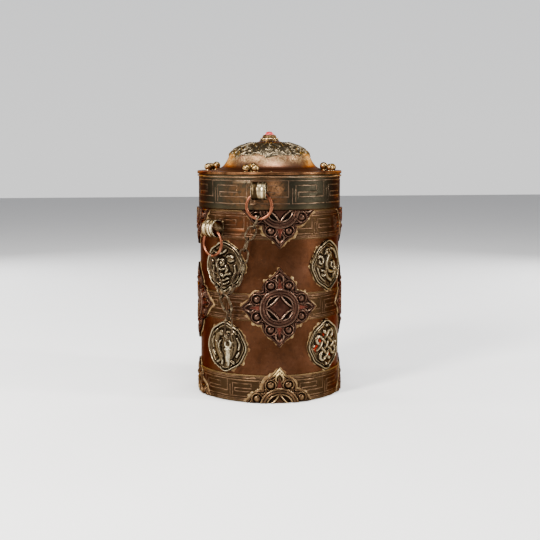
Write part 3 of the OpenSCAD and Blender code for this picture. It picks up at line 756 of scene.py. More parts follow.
def plaque_outline():
    half = spline(LOBE, 5)
    full = np.vstack([half, [(p[0], -p[1]) for p in half[-2::-1]]])[:-1]
    out = []
    for k in range(4):
        c, s = [(1, 0), (0, -1), (-1, 0), (0, 1)][k]
        out += [(p[0] * c - p[1] * s, p[0] * s + p[1] * c) for p in full]
    return resample(out, 0.42)


OUTLINE = plaque_outline()


def ridge(d, w, h):
    return h * np.sqrt(np.clip(1 - (d / w) ** 2, 0, 1))


def plaque_height(x, y):
    d = poly_dist(x, y, OUTLINE)
    r = np.hypot(x, y)
    al, cr = np.maximum(abs(x), abs(y)), np.minimum(abs(x), abs(y))
    h = 0.75 + 0.35 * smooth(0.5, 3.5, d)
    outside = r > 14.1
    h = np.maximum(h, 0.75 + ridge(d - 0.75, 0.85, 0.95))
    h = np.where(outside, np.maximum(h, 0.8 + ridge(d - 2.55, 0.75, 1.0)), h)
    groove = ridge(d - 1.65, 0.35, 0.35)
    h = np.where(outside, h - groove, h)
    # bosses, each in a curl that opens towards the lobe's point
    q = np.hypot(al - 15.9, cr - 6.3)
    h = np.where(outside | (q < 4.4), np.where((q < 4.6) & outside, np.maximum(h * 0 + 0.75, ridge(q - 3.75, 0.75, 1.15) + 0.75), h), h)
    h = np.where(q < 2.75, np.maximum(h, 0.6 + ridge(q, 2.7, 2.1)), h)
    leaf = stroke(al, cr, [(17.2, 0.4, 0.5, 0.9), (19.6, 2.6, 0.9, 1.7), (22.4, 2.2, 0.9, 1.7), (25.0, 0.2, 0.6, 1.5)], 4)
    h = np.maximum(h, np.where(outside, 0.5 + leaf, 0))
    # the red dart between the bosses
    wdt = 1.75 * (1 - (al - 14.3) / 6.6)
    dart = smooth(0.25, -0.25, cr - wdt) * smooth(14.0, 14.6, al) * smooth(21.2, 20.2, al)
    h = h * (1 - dart) + dart * 0.85
    h = np.where(outside, np.maximum(h, 0.7 + ridge(cr - wdt - 0.45, 0.45, 0.8) * (al < 20.8) * (al > 14.4)), h)
    # double ring
    ring = np.maximum(ridge(r - 13.25, 1.0, 1.05), ridge(r - 11.35, 0.95, 0.95))
    h = np.where((r > 10.3) & (r < 14.3), np.maximum(1.35, 1.55 + ring), h)
    # four lenses round a concave star
    ax, ay = abs(x), abs(y)
    sd = np.maximum(r - 10.2, np.hypot(ax - 17.5, ay - 17.5) - 19.6)
    inside = r <= 10.4
    star = 1.25 + 0.45 * smooth(9.5, 1.0, r) + ridge(r, 1.0, 0.15)
    lens = 0.45 + 0 * sd
    hh = np.where(sd < 0, lens, star)
    hh = np.maximum(hh, (0.9 + ridge(sd + 0.70, 0.82, 1.5)) * (sd < 0.2))
    hh = hh - ridge(sd - 0.35, 0.35, 0.45) * (sd > 0)
    hh = np.maximum(hh, np.where(sd > 0, 1.1 + ridge(sd - 1.25, 0.3, 0.35), 0))
    h = np.where(inside, hh, h)
    ht = np.clip((h - 0.6) / 1.95, 0, 1)
    return np.clip(h, 0.25, 2.66), {"ht": ht, "red": dart * 1.0 + 0.12 * (inside & (sd > 0))}


# plaque ht: painted shade in the recesses and painted highlight on the ridges, over some real wear
plaque_wear_and_painted_light = worn(plaque_height, 30)


def hand(seed, amount=1.0):
    """The small unevenness of hammering and casting."""
    def f(x, y):
        jx = 0.22 * amount * noise(x / 6 + 3, y / 6 + 1, 0, seed)
        jy = 0.22 * amount * noise(x / 6 + 9, y / 6 + 4, 0, seed + 1)
        jh = 0.10 * amount * noise(x / 1.6, y / 1.6, 0, seed + 2) + 0.10 * amount * noise(x / 5, y / 5, 0, seed + 3)
        return jx, jy, jh
    return f


def clip_outline(o, limit, keep_below):
    """The outline cut at a height, with the cut edge resampled."""
    out = []
    n = len(o)
    for i in range(n):
        p, q = o[i], o[(i + 1) % n]
        a, b = (p[1] <= limit) == keep_below, (q[1] <= limit) == keep_below
        if a:
            out.append(p)
        if a != b:
            t = (limit - p[1]) / (q[1] - p[1])
            out.append(p + (q - p) * t)
    return resample(out, 0.42)


parts = [patch(OUTLINE, (0, 0), 62, plaque_wear_and_painted_light, 90 * k, 69.2, jitter=hand(50 + 7 * k), tuck=-0.1) for k in range(4)]
V, F, A = join(parts)
build("plaques_middle_relief", V, F, MAT_PLAQUE, "drum", ["plaques_middle"], A)
top_line = clip_outline(OUTLINE, 138.4 - 140.0, True)
parts = [patch(top_line, (0, -9), 46, plaque_wear_and_painted_light, 90 * k, 140.0, jitter=hand(80 + 7 * k, 0.7), tuck=-0.1) for k in range(4)]
V, F, A = join(parts)
V[:, 2] = np.minimum(V[:, 2], 138.38)
build("plaques_top_relief", V, F, MAT_PLAQUE, "drum", ["plaques_top"], A)
low_line = clip_outline(OUTLINE, 0.6 + 2.6, False)
parts = [patch(low_line, (0, 10.5), 44, plaque_wear_and_painted_light, 90 * k, -2.6, jitter=hand(110 + 7 * k, 0.7), tuck=-0.1) for k in range(4)]
V, F, A = join(parts)
V[:, 2] = np.maximum(V[:, 2], 0.62)
build("plaques_bottom_relief", V, F, MAT_PLAQUE_LOW, "drum", ["plaques_bottom"], A)


# ---------------------------------------------------------------- solder fringes
def fringe(outline, az, zc, seed, wide=1.3, zlim=None, tabs=9, base=WALL, band=None):
    o = resample(outline, 0.5)
    n = len(o)
    d = np.roll(o, -1, 0) - np.roll(o, 1, 0)
    nrm = np.stack([d[:, 1], -d[:, 0]], -1)
    nrm /= np.linalg.norm(nrm, axis=1)[:, None]
    area = 0.5 * np.sum(o[:, 0] * np.roll(o[:, 1], -1) - np.roll(o[:, 0], -1) * o[:, 1])
    if area < 0:
        nrm = -nrm
    s = np.arange(n) * 0.5
    w = wide * (0.62 + 1.1 * noise(s / 4.3, 0, 0, seed) + 0.65 * noise(s / 1.3, 3, 0, seed + 1) + 0.8 * smooth(0.1, 0.7, noise(s / 9.0, 6, 0, seed + 2)))
    rs = np.random.RandomState(seed)
    for c in rs.randint(0, n, tabs):
        ww = rs.uniform(1.3, 2.6)
        dd = np.minimum(abs(np.arange(n) - c), n - abs(np.arange(n) - c)) * 0.5
        w = np.maximum(w, ww * np.sqrt(np.clip(1 - (dd / rs.uniform(1.0, 1.7)) ** 2, 0, 1)))
    w = np.clip(w, 0.12, 3.0)
    k = np.array([-0.35, 0.25, 0.55, 0.8, 0.95, 1.0])
    hk = np.array([0.36, 0.34, 0.30, 0.22, 0.10, -0.06])
    X = o[None, :, 0] + nrm[None, :, 0] * (w[None] * k[:, None])
    Y = o[None, :, 1] + nrm[None, :, 1] * (w[None] * k[:, None])
    H = hk[:, None] + 0.05 * noise(X / 1.2, Y / 1.2, 0, seed + 4)
    H[-1] = -0.08
    Z = zc + Y
    if band:
        on = np.zeros(Z.shape)
        for (za, zb) in band:
            on = np.maximum(on, smooth(za - 0.25, za + 0.05, Z) * smooth(zb + 0.25, zb - 0.05, Z))
        H = H + 0.8 * on
    if zlim:
        Z = np.clip(Z, zlim[0], zlim[1])
    V = on_wall(X, Z, H, az, base).reshape(-1, 3)
    F = grid_faces(len(k), n, wrap_v=True)
    return V, F if area > 0 else F[:, ::-1]


BANDS = [(0.6, 20.3), (59.6, 79.2), (117.8, 138.4)]
parts = []
for k in range(4):
    parts.append(fringe(OUTLINE, 90 * k, 69.2, 200 + k, 0.85, band=BANDS, tabs=12))
    parts.append(fringe(top_line, 90 * k, 140.0, 220 + k, 1.0, zlim=(60, 138.36), band=BANDS, tabs=7))
    parts.append(fringe(low_line, 90 * k, -2.6, 240 + k, 1.0, zlim=(0.64, 60), band=BANDS, tabs=7))


# ---------------------------------------------------------------- medallions
def medal_outline(seed=0):
    a = np.radians(np.arange(0, 360, 1.2))
    r = 16.75 + 1.3 * abs(np.sin(a)) ** 10 + 0.34 * np.cos(8 * a) + 0.9 * abs(np.cos(a)) ** 6
    r = r + 0.25 * noise(np.cos(a) * 2 + 7, np.sin(a) * 2 + 7, 0, seed)
    return resample(np.stack([r * np.cos(a), r * np.sin(a)], -1), 0.42)


def medal_height(outline, strokes, red_spots=()):
    def f(x, y):
        d = poly_dist(x, y, outline)
        s = np.zeros(x.shape)
        near = np.zeros(x.shape)
        for st in strokes:
            s = np.maximum(s, stroke(x, y, st))
            near = np.maximum(near, stroke(x, y, [(p[0], p[1], p[2] + 1.0, 1.0) for p in st], 4))
        near = np.sqrt(near) * (s < 0.25)
        lump = noise(x / 1.9, y / 1.9, 0, 5) * 0.6 + noise(x / 0.95, y / 0.95, 0, 15) * 0.4
        h = 1.0 + 0.22 * smooth(3, 11, d) + 0.22 * lump - 0.62 * near
        h = np.maximum(h, 0.85 + ridge(d - 0.7, 0.85, 1.15))
        h = np.maximum(h, (0.9 + ridge(d - 2.75, 0.55, 0.55)) * (near < 0.5))
        h = h - ridge(d - 1.85, 0.5, 0.5)
        h = np.maximum(h, np.where(s > 0.02, 0.55 + s + 0.07 * lump, 0))
        # this ht is painted shade next to the strokes and in the groove and painted highlight on the rim; worn() puts
        # its own ht in its place
        ht = 0.40 + 0.16 * lump - 0.42 * near
        ht = np.where(s > 0.05, 0.30 + 0.30 * s + 0.12 * lump, ht)
        ht = np.maximum(ht, 0.20 + 0.75 * ridge(d - 0.7, 0.85, 1.0)) - 0.42 * ridge(d - 1.85, 0.6, 1.0)
        red = np.zeros(x.shape)
        for (rx, ry, rr) in red_spots:
            red = np.maximum(red, smooth(rr, rr * 0.5, np.hypot(x - rx, y - ry)) * (s < 0.3))
        return np.clip(h, 0.2, 2.72), {"ht": np.clip(ht, 0, 1), "red": red}
    return f


def line(pts, w, h):
    return [(p[0], p[1], w, h) for p in pts]


# shell with a winding mouth, ribbons on its left
conch = [
    curl(3.8, 0.2, 2.2, 8.4, 60, -250, 0.9, 2.0, 1.7, 2.1, 16),
    curl(4.6, 0.0, 2.0, 2.0, 0, 360, 0.75, 0.75, 1.6, 1.6, 13),
    line([(-3.6, -1.5), (-3.4, -5.2), (-1.2, -8.8), (2.4, -11.2)], 1.5, 1.6),
    line([(3.5, -10.6), (6.5, -9.0), (9.2, -6.0)], 1.3, 1.4),
    curl(-9.3, 3.4, 3.2, 1.0, 70, -190, 1.1, 0.8, 1.7, 1.6, 10),
    line([(-7.8, 6.5), (-9.6, 7.3), (-11.3, 6.0)], 0.9, 1.4),
    curl(-7.0, -6.2, 2.8, 0.9, 110, -160, 1.0, 0.8, 1.6, 1.5, 10),
    line([(-12.2, -1.5), (-10.9, -4.8), (-8.8, -8.6), (-5.2, -11.3)], 0.8, 1.2),
    [(-2.2, 9.3, 2.3, 1.7)], line([(-4.6, 8.2), (-2.6, 11.6), (0.2, 11.2), (1.2, 8.6)], 0.7, 1.4),
    line([(2.8, 11.8), (6.2, 10.9), (9.6, 8.2), (11.6, 4.6)], 0.9, 1.4),
    [(10.6, -3.4, 1.6, 1.4)], [(-1.2, 1.2, 1.0, 1.2)],
]
# the endless knot, laid out on a lattice turned by 45 degrees
c45 = math.cos(PI / 4)


def rot45(pts):
    return [((p[0] - p[1]) * c45, (p[0] + p[1]) * c45) for p in pts]


knot = []
for k in (-1, 0, 1):
    for q in (0, 1):
        pts = []
        for i in range(13):
            t = -9.0 + 18.0 * i / 12
            pts.append((t, 5.1 * k) if q == 0 else (5.1 * k, t))
        hs = [1.75 + 0.38 * math.cos(PI * (t[q] / 5.1 + k)) * (1 if q == 0 else -1) for t in [(p[0], p[1]) for p in pts]]
        knot.append([(a0, b0, 1.5, hh) for (a0, b0), hh in zip(rot45(pts), hs)])
for q in (0, 1):
    for sgn in (-1, 1):
        c = 2.55 * (1 if sgn > 0 else -1) * (1 if q == 0 else -1)
        arc = []
        for i in range(9):
            th = -PI / 2 + PI * i / 8
            p = (sgn * (8.9 + 2.6 * math.cos(th)), c + 2.55 * math.sin(th))
            arc.append(p if q == 0 else (p[1], p[0]))
        knot.append([(a0, b0, 1.4, 1.9) for (a0, b0) in rot45(arc)])
for (px, py) in ((-13.2, 0.5), (13.0, 0.3), (0.3, 14.2), (-0.2, -14.0)):
    knot.append([(px, py, 1.5, 1.4)])
# lotus with a ribbon and a bud
lotus = [
    curl(-1.5, 2.0, 4.6, 1.2, 210, -90, 1.2, 1.1, 2.0, 1.9, 14),
    [(-1.4, 2.4, 1.9, 2.1)], line([(-6.4, 6.2), (-5.6, 1.2), (-2.4, -2.2), (2.6, -1.4)], 1.15, 1.9),
    line([(2.4, 0.6), (3.8, -1.8), (2.4, -4.0)], 1.2, 1.9),
    [(6.4, 5.8, 3.0, 1.7)], line([(3.8, 6.9), (6.0, 7.9), (8.6, 6.8)], 1.0, 1.9), line([(4.4, 4.4), (6.8, 3.8), (9.0, 4.6)], 0.8, 1.6),
    [(-4.6, -6.2, 2.2, 1.6)], line([(-6.4, -5.2), (-3.6, -4.6), (-0.4, -7.0)], 1.3, 2.1),
    line([(0.6, -7.4), (3.0, -5.4), (6.0, -4.8)], 1.2, 2.0), line([(-5.0, -8.6), (-0.4, -10.2), (4.6, -8.4)], 1.1, 1.5),
    line([(-10.6, 3.2), (-9.4, -1.8), (-9.8, -6.2)], 1.2, 1.4), line([(-7.6, 10.4), (-4.4, 9.0), (-0.4, 9.6), (2.2, 11.6)], 1.1, 1.6),
    [(-1.6, 12.0, 1.3, 1.6)], line([(9.8, 0.8), (10.4, -2.8), (8.6, -7.2)], 1.1, 1.3), line([(-3.2, -12.0), (0.6, -12.8), (4.4, -11.4)], 0.9, 1.3),
]
# two fish side by side, heads up
fish = []
for sg in (-1, 1):
    fish += [
        line([(3.2 * sg, 10.2), (6.6 * sg, 8.4), (8.0 * sg, 3.0), (6.8 * sg, -2.6), (4.2 * sg, -6.8)], 2.6, 1.75),
        line([(4.2 * sg, -6.8), (4.6 * sg, -9.6), (7.2 * sg, -11.4)], 1.2, 1.5),
        line([(4.0 * sg, -7.2), (2.4 * sg, -10.0), (2.8 * sg, -12.6)], 1.0, 1.5),
        [(3.6 * sg, 9.8, 2.5, 2.0)], [(3.4 * sg, 10.6, 0.7, 2.15)],
        line([(10.4 * sg, 6.6), (12.0 * sg, 3.2), (11.2 * sg, -1.0)], 1.0, 1.5),
        line([(11.4 * sg, -3.6), (9.8 * sg, -6.6)], 1.0, 1.5),
        curl(8.2 * sg, 1.6, 2.4, 1.2, 100, 260 if sg > 0 else -60, 0.7, 0.6, 2.1, 2.0, 7),
        line([(3.6 * sg, 4.4), (5.2 * sg, 1.0), (4.2 * sg, -3.4)], 0.7, 2.0),
    ]
fish += [line([(0, 12.6), (0, 7.2)], 1.0, 1.3), [(0, -2.0, 1.1, 1.3)], line([(-9.2, 10.0), (-7.2, 11.9)], 0.9, 1.4), line([(9.2, 10.0), (7.2, 11.9)], 0.9, 1.4)]
# parasol
parasol = [line([(-9.6, 1.4), (-7.6, 6.2), (-3.6, 9.6), (0, 10.8), (3.6, 9.6), (7.6, 6.2), (9.6, 1.4)], 1.2, 1.9), line([(-9.6, 1.2), (9.6, 1.2)], 1.1, 2.0),
           line([(-5, 7.6), (-3.4, 2.2)], 0.8, 1.6), line([(0, 9.8), (0, 2.2)], 0.8, 1.6), line([(5, 7.6), (3.4, 2.2)], 0.8, 1.6), [(0, 12.6, 1.4, 1.8)],
           line([(0, 0.6), (0, -11.4)], 1.1, 1.9)] + [line([(x0, 0.2), (x0 + 0.4, -3.4)], 1.0, 1.6) for x0 in (-8.4, -4.4, 4.4, 8.4)]
parasol += [curl(-5.2, -8.2, 2.8, 0.9, 80, -200, 1.0, 0.8, 1.6, 1.5, 9), curl(5.2, -8.2, 2.8, 0.9, 100, 380, 1.0, 0.8, 1.6, 1.5, 9)]
# vase
vase = [[(0, -2.8, 6.6, 2.1)], line([(-2.0, 2.6), (-1.8, 6.0)], 1.2, 1.8), line([(2.0, 2.6), (1.8, 6.0)], 1.2, 1.8), line([(-4.6, 7.2), (4.6, 7.2)], 1.1, 2.0),
        line([(-4.6, -10.2), (4.6, -10.2)], 1.2, 1.9), line([(-6.2, -1.4), (0, -0.4), (6.2, -1.4)], 0.7, 2.15), [(0, 10.2, 2.2, 1.9)], [(-3.0, 9.6, 1.4, 1.5)], [(3.0, 9.6, 1.4, 1.5)],
        curl(-9.2, 3.6, 2.6, 0.9, -60, 210, 1.0, 0.8, 1.6, 1.5, 9), curl(9.2, 3.6, 2.6, 0.9, 240, -30, 1.0, 0.8, 1.6, 1.5, 9),
        line([(-10.6, -1.6), (-10.0, -6.4), (-6.6, -9.4)], 1.0, 1.4), line([(10.6, -1.6), (10.0, -6.4), (6.6, -9.4)], 1.0, 1.4)]
# victory banner
banner = []
for k in range(3):
    yy, ww = 6.8 - 5.0 * k, 5.2 + 0.7 * k
    banner += [line([(-ww, yy), (ww, yy)], 1.1, 2.0), line([(-ww, yy), (-ww + 0.4, yy - 3.2)], 0.9, 1.7), line([(ww, yy), (ww - 0.4, yy - 3.2)], 0.9, 1.7),
               line([(-ww * 0.35, yy - 0.6), (-ww * 0.35, yy - 3.0)], 0.8, 1.6), line([(ww * 0.35, yy - 0.6), (ww * 0.35, yy - 3.0)], 0.8, 1.6)]
banner += [[(0, 10.8, 2.1, 2.0)], line([(0, -7.2), (0, -12.4)], 1.1, 1.8), curl(-10.2, 4.4, 2.6, 0.9, -60, 210, 1.0, 0.8, 1.6, 1.5, 9), curl(10.2, 4.4, 2.6, 0.9, 240, -30, 1.0, 0.8, 1.6, 1.5, 9),
           line([(-10.4, -2.4), (-8.8, -7.8), (-4.0, -10.8)], 1.0, 1.4), line([(10.4, -2.4), (8.8, -7.8), (4.0, -10.8)], 1.0, 1.4)]
# wheel
wheel = [curl(0, 0, 9.2, 9.2, 0, 360, 1.2, 1.2, 1.9, 1.9, 25), [(0, 0, 2.6, 2.1)], curl(0, 0, 3.6, 3.6, 0, 360, 0.5, 0.5, 1.5, 1.5, 17)]
for k in range(8):
    th = PI / 4 * k
    wheel += [line([(3.4 * math.cos(th), 3.4 * math.sin(th)), (8.4 * math.cos(th), 8.4 * math.sin(th))], 0.75, 1.75), [(11.8 * math.cos(th), 11.8 * math.sin(th), 1.35, 1.7)]]

MEDALS = [("conch", conch, 46, 98.0, ()), ("lotus", lotus, -46.5, 98.0, ()), ("parasol", parasol, 134, 98.0, ()), ("banner", banner, -134, 98.0, ()),
          ("knot", knot, 43.5, 39.6, ((-10.5, -1.5, 3.2), (-6.2, 2.6, 2.6), (-9.2, 6.0, 2.2), (-2.5, 8.0, 2.0), (3, -8, 2.4))), ("fish", fish, -45, 39.6, ()),
          ("vase", vase, 134, 39.6, ((0, 5, 2),)), ("wheel", wheel, -134, 39.6, ((6, 3, 2),))]
for i, (nm, strokes, az, zc, red) in enumerate(MEDALS):
    o = medal_outline(300 + i)
    # medallion ht from worn(): painted shade in the recesses and painted highlight on the ridges, over some real wear
    V, F, A = join([patch(o, (0, 0), 46, worn(medal_height(o, strokes, red), 19.5, 0.2), az, zc, jitter=hand(310 + 5 * i, 0.8), tuck=-0.1)])
    build("medallion_" + nm + "_relief", V, F, MAT_SILVER, "drum", ["medallion_" + nm], A)
    parts.append(fringe(o, az, zc, 330 + i, 0.6, band=BANDS, tabs=6))
V, F, A = join(parts)
build("solder_fringe", V, F, MAT_SOLDER, "drum")

# ---------------------------------------------------------------- lid top
DOME = [(53.9, 165.2), (53.5, 165.6), (50, 165.62), (46, 165.6), (42, 165.7), (39.6, 166.7), (37, 167.5), (34.8, 168.8), (33, 170.9), (31.8, 172.8), (30.8, 174.8), (29.4, 177.6),
        (26.4, 180.6), (21.4, 183.4), (16, 185.2), (11.3, 186.2), (7.5, 187.08)]
outer = np.vstack([[(53.5, 163.32), (53.9, 163.7)], DOME[:2], spline(DOME[1:], 4)[1:]])
inner = [(1.6, 187.08), (1.6, 186.2), (7.5, 186.2), (15.7, 184.3), (20.9, 182.6), (25.8, 179.9), (28.6, 177.1), (29.9, 174.5), (30.9, 172.4), (32.2, 170.2), (34.2, 167.9), (36.7, 166.6), (41.6, 164.4), (41.8, 163.32)]
V, F = lathe(np.vstack([outer, inner]), 320)
r = np.hypot(V[:, 0], V[:, 1])
a = np.arctan2(V[:, 0], -V[:, 1])
up = (V[:, 2] > 165) & (r > 8)
V[:, 2] += np.where(up, 0.10 * (fbm(V[:, 0] / 9, V[:, 1] / 9, 0, 61) - 0.6) * smooth(53.9, 50, r), 0)
rimz = (r > 52.6)
V[:, 2] += np.where(rimz & (V[:, 2] < 165), 0.06 * (1 + noise(a * 5, 3, 0, 5)), 0)
build("lid_top_skin", V, F, MAT_DOME, "lid", ["lid_top"], sharp=55)

# the collar of cloud scrolls over the dome
pr = spline(DOME[9:], 8)
prr, prz = pr[::-1, 0], pr[::-1, 1]


def dome_z(rr):
    return np.interp(rr, prr, prz)


def collar_strokes():
    """One of eight motifs: a large volute, its stalk and three small leaves. Columns are degrees along, and distance from the axis."""
    m = []
    W = 45.0
    for k in range(8):
        c = -8 + W * k
        mm = 26.0

        def P(pts, w, h):
            return [(c * PI / 180 * mm + x, yy, w, h) for x, yy in pts]
        m.append([(x + c * PI / 180 * mm, y, w, h) for x, y, w, h in curl(0, 22.6, 3.9, 0.9, 130, -250, 0.85, 0.6, 0.95, 0.8, 15)])
        m.append([(c * PI / 180 * mm, 22.6, 1.0, 0.9)])
        m.append(P([(-4.6, 14.5), (-6.4, 19.0), (-7.6, 23.8), (-6.2, 28.2)], 0.95, 0.9))
        m.append([(x + c * PI / 180 * mm, y, w, h) for x, y, w, h in curl(-7.6, 26.4, 2.4, 0.8, -60, 200, 0.7, 0.5, 0.85, 0.75, 9)])
        m.append([(x + c * PI / 180 * mm, y, w, h) for x, y, w, h in curl(6.3, 25.4, 2.3, 0.8, 220, -60, 0.7, 0.5, 0.85, 0.75, 9)])
        m.append(P([(3.8, 16.0), (6.6, 19.0), (9.0, 22.0)], 0.9, 0.8))
        m.append(P([(-2.2, 27.8), (0.2, 29.3), (2.8, 28.0)], 0.8, 0.8))
        m.append(P([(8.6, 27.6), (10.2, 29.2)], 0.9, 0.75))
        m.append(P([(-1.6, 13.4), (0.4, 17.2), (2.4, 13.4)], 0.7, 0.7))
    return m


nr_, na_ = 56, 720
az_ = np.linspace(0, 2 * PI, na_, endpoint=False)
edge_r = 29.0 + 1.15 * abs(np.cos(4 * (az_ + math.radians(8)))) + 0.6 * noise(np.cos(az_) * 9, np.sin(az_) * 9, 0, 3) + 0.5 * noise(np.cos(az_) * 22, np.sin(az_) * 22, 0, 4)
uu = np.linspace(0, 1, nr_)
RR = 12.0 + uu[:, None] * (edge_r[None] - 12.0)
AA = np.broadcast_to(az_[None], RR.shape)
sx = ((AA + math.radians(8) + PI / 8) % (2 * PI) - math.radians(8) - PI / 8) * 26.0
hs = np.zeros(RR.shape)
for st in collar_strokes():
    for sh in (0, -2 * PI * 26.0):
        st2 = [(p[0] + sh, p[1], p[2], p[3]) for p in st]
        hs = np.maximum(hs, stroke(sx, RR, st2, 3))
rim = np.exp(-((edge_r[None] - RR - 0.5) / 0.5) ** 2) * 0.45
base_h = 0.22 + 0.10 * noise(RR / 1.7, sx / 1.7, 0, 8)
hh = np.maximum(base_h + rim * 0.6, 0.2 + hs) * smooth(12.0, 13.5, RR)
hh = np.minimum(hh, 1.15)
hh[-1] = -0.12
hh[0] = -0.12
dz = 0.01
slope = (dome_z(RR + 0.3) - dome_z(RR - 0.3)) / 0.6
nr2 = -slope / np.sqrt(1 + slope ** 2)
nz2 = 1 / np.sqrt(1 + slope ** 2)
R2 = RR + nr2 * hh
Z2 = dome_z(RR) + nz2 * hh - 0.05
V = np.stack([R2 * np.sin(AA), -R2 * np.cos(AA), Z2], -1).reshape(-1, 3)
F = grid_faces(nr_, na_, wrap_v=True)[:, ::-1]
hc = np.maximum(hh, 0)
# collar ht: lighter where the scrolls stand above their neighbourhood, darker between them: painted highlight and
# painted shade
wc = 0.50 + 0.55 * (hc - box_blur(hc, 2, True)) + 0.32 * (hc - box_blur(hc, 6, True))
build("dome_collar_relief", V, F, MAT_COLLAR, "lid", ["dome_collar"], {"ht": np.clip(wc, 0, 1).ravel(), "red": np.zeros(V.shape[0])})

# the thin roll under the flange
a = np.linspace(0, 2 * PI, 360, endpoint=False)
zz = 162.0 + 0.22 * noise(np.cos(a) * 4 + 3, np.sin(a) * 4 + 3, 0, 9) + 0.1 * noise(np.cos(a) * 14, np.sin(a) * 14, 0, 10)
P = np.stack([53.42 * np.sin(a), -53.42 * np.cos(a), zz], -1)
V, F = tube_wire(P, 0.46, 10)
build("lid_wire_roll", V, F, MAT_FLANGE, "lid", ["lid_wire"])

# ---------------------------------------------------------------- balls on the flange
def ball(c, r, seed, n=20, m=28, squash=1.0):
    t = np.linspace(0, PI, n)
    a = np.linspace(0, 2 * PI, m, endpoint=False)
    T, A = np.meshgrid(t, a, indexing="ij")
    d = np.stack([np.sin(T) * np.cos(A), np.sin(T) * np.sin(A), np.cos(T)], -1)
    rr = r * (1 + 0.035 * noise(d[..., 0] * 1.6 + seed, d[..., 1] * 1.6, d[..., 2] * 1.6, seed) + 0.012 * noise(d[..., 0] * 5, d[..., 1] * 5, d[..., 2] * 5, seed))
    V = (np.asarray(c) + d * rr[..., None] * np.array([1, 1, squash])).reshape(-1, 3)
    return V, grid_faces(n, m, wrap_v=True)[:, ::-1]


parts = []
for q, az in enumerate((-24, 66, 156, 246)):
    A0 = math.radians(az)
    tdir, rdir = np.array([math.cos(A0), math.sin(A0), 0]), np.array([math.sin(A0), -math.cos(A0), 0])
    for k, (s, ro, z) in enumerate(((-3.15, 47.2, 167.9), (3.15, 47.2, 167.9), (0, 41.6, 168.9))):
        c = tdir * s + rdir * ro + np.array([0, 0, z])
        parts.append(ball(c, 2.93, 400 + 10 * q + k))
V, F, A = join(parts)
build("flange_balls", V, F, MAT_BEAD, "lid", ["bead_clusters"])
parts = []
for q, az in enumerate((-24, 66, 156, 246)):
    A0 = math.radians(az)
    tdir, rdir = np.array([math.cos(A0), math.sin(A0), 0]), np.array([math.sin(A0), -math.cos(A0), 0])
    for k, (s, ro, z, r0) in enumerate(((-3.15, 47.2, 165.6, 2.1), (3.15, 47.2, 165.6, 2.1), (0, 41.9, 166.0, 2.2), (0, 45.0, 165.6, 1.6))):
        c = tdir * s + rdir * ro + np.array([0, 0, z])
        parts.append(ball(c, r0, 500 + 10 * q + k, 12, 20, 0.35))
for (az, r0, z, sz) in ((-9.5, 53.3, 165.15, 0.62), (-6.5, 53.2, 165.3, 0.8), (-3.8, 53.35, 165.1, 0.5), (-10.5, 53.45, 162.6, 0.42), (-8.5, 53.4, 162.4, 0.5)):
    parts.append(ball(pol(az, r0 - 0.35, z), sz, int(600 + abs(az) * 3), 12, 18, 0.8))
V, F, A = join(parts)
build("lid_solder_spots", V, F, MAT_GOLDRING, "lid")

# ---------------------------------------------------------------- finial
V, F = lathe([(1.6, 187.12), (7.2, 187.12), (7.5, 187.3), (7.45, 187.7), (7.0, 187.9), (1.6, 187.9)], 96)
build("finial_base_step", V, F, MAT_BEZEL, "lid", ["finial_base"], sharp=50)
parts = [lathe([(1.6, 187.92), (6.2, 187.92), (6.75, 188.2), (6.9, 188.75), (6.7, 189.3), (6.2, 189.58), (1.6, 189.58)], 96)]
V, F, A = join(parts)
build("finial_turned_ring", V, F, MAT_GOLDRING, "lid", ["finial_ring"], sharp=60)
V, F = lathe([(1.6, 189.62), (5.2, 189.62), (5.4, 189.8), (5.1, 190.6), (4.75, 191.3), (4.5, 191.75), (4.1, 191.85), (3.72, 191.7), (3.7, 190.82), (1.6, 190.82)], 96)
build("finial_bezel_cup", V, F, MAT_BEZEL, "lid", ["finial_bezel"], sharp=50)
t = np.linspace(0, PI / 2, 14)
prof = [(0.01, 190.82), (3.66, 190.84)] + [(3.66 * math.cos(q) + 0.0, 191.5 + 2.98 * math.sin(q)) for q in t[:-1]] + [(0.01, 194.48)]
V, F = lathe(prof, 64, close=False)
r = np.hypot(V[:, 0], V[:, 1])
V[:, 2] -= 0.12 * (1 + noise(V[:, 0] / 2, V[:, 1] / 2, 0, 8)) * (V[:, 2] > 192)
build("coral_stone", V, F, MAT_CORAL, "lid", ["coral_cabochon"])


# ---------------------------------------------------------------- loops, rings and chain
LOOP_C = 59.3


def local(az, r, z):
    """The frame of a point on the drum: tangent, outward and up, with its origin."""
    a = math.radians(az)
    return np.array([[math.cos(a), math.sin(a), 0], [math.sin(a), -math.cos(a), 0], [0, 0, 1.0]]), pol(az, r, z)


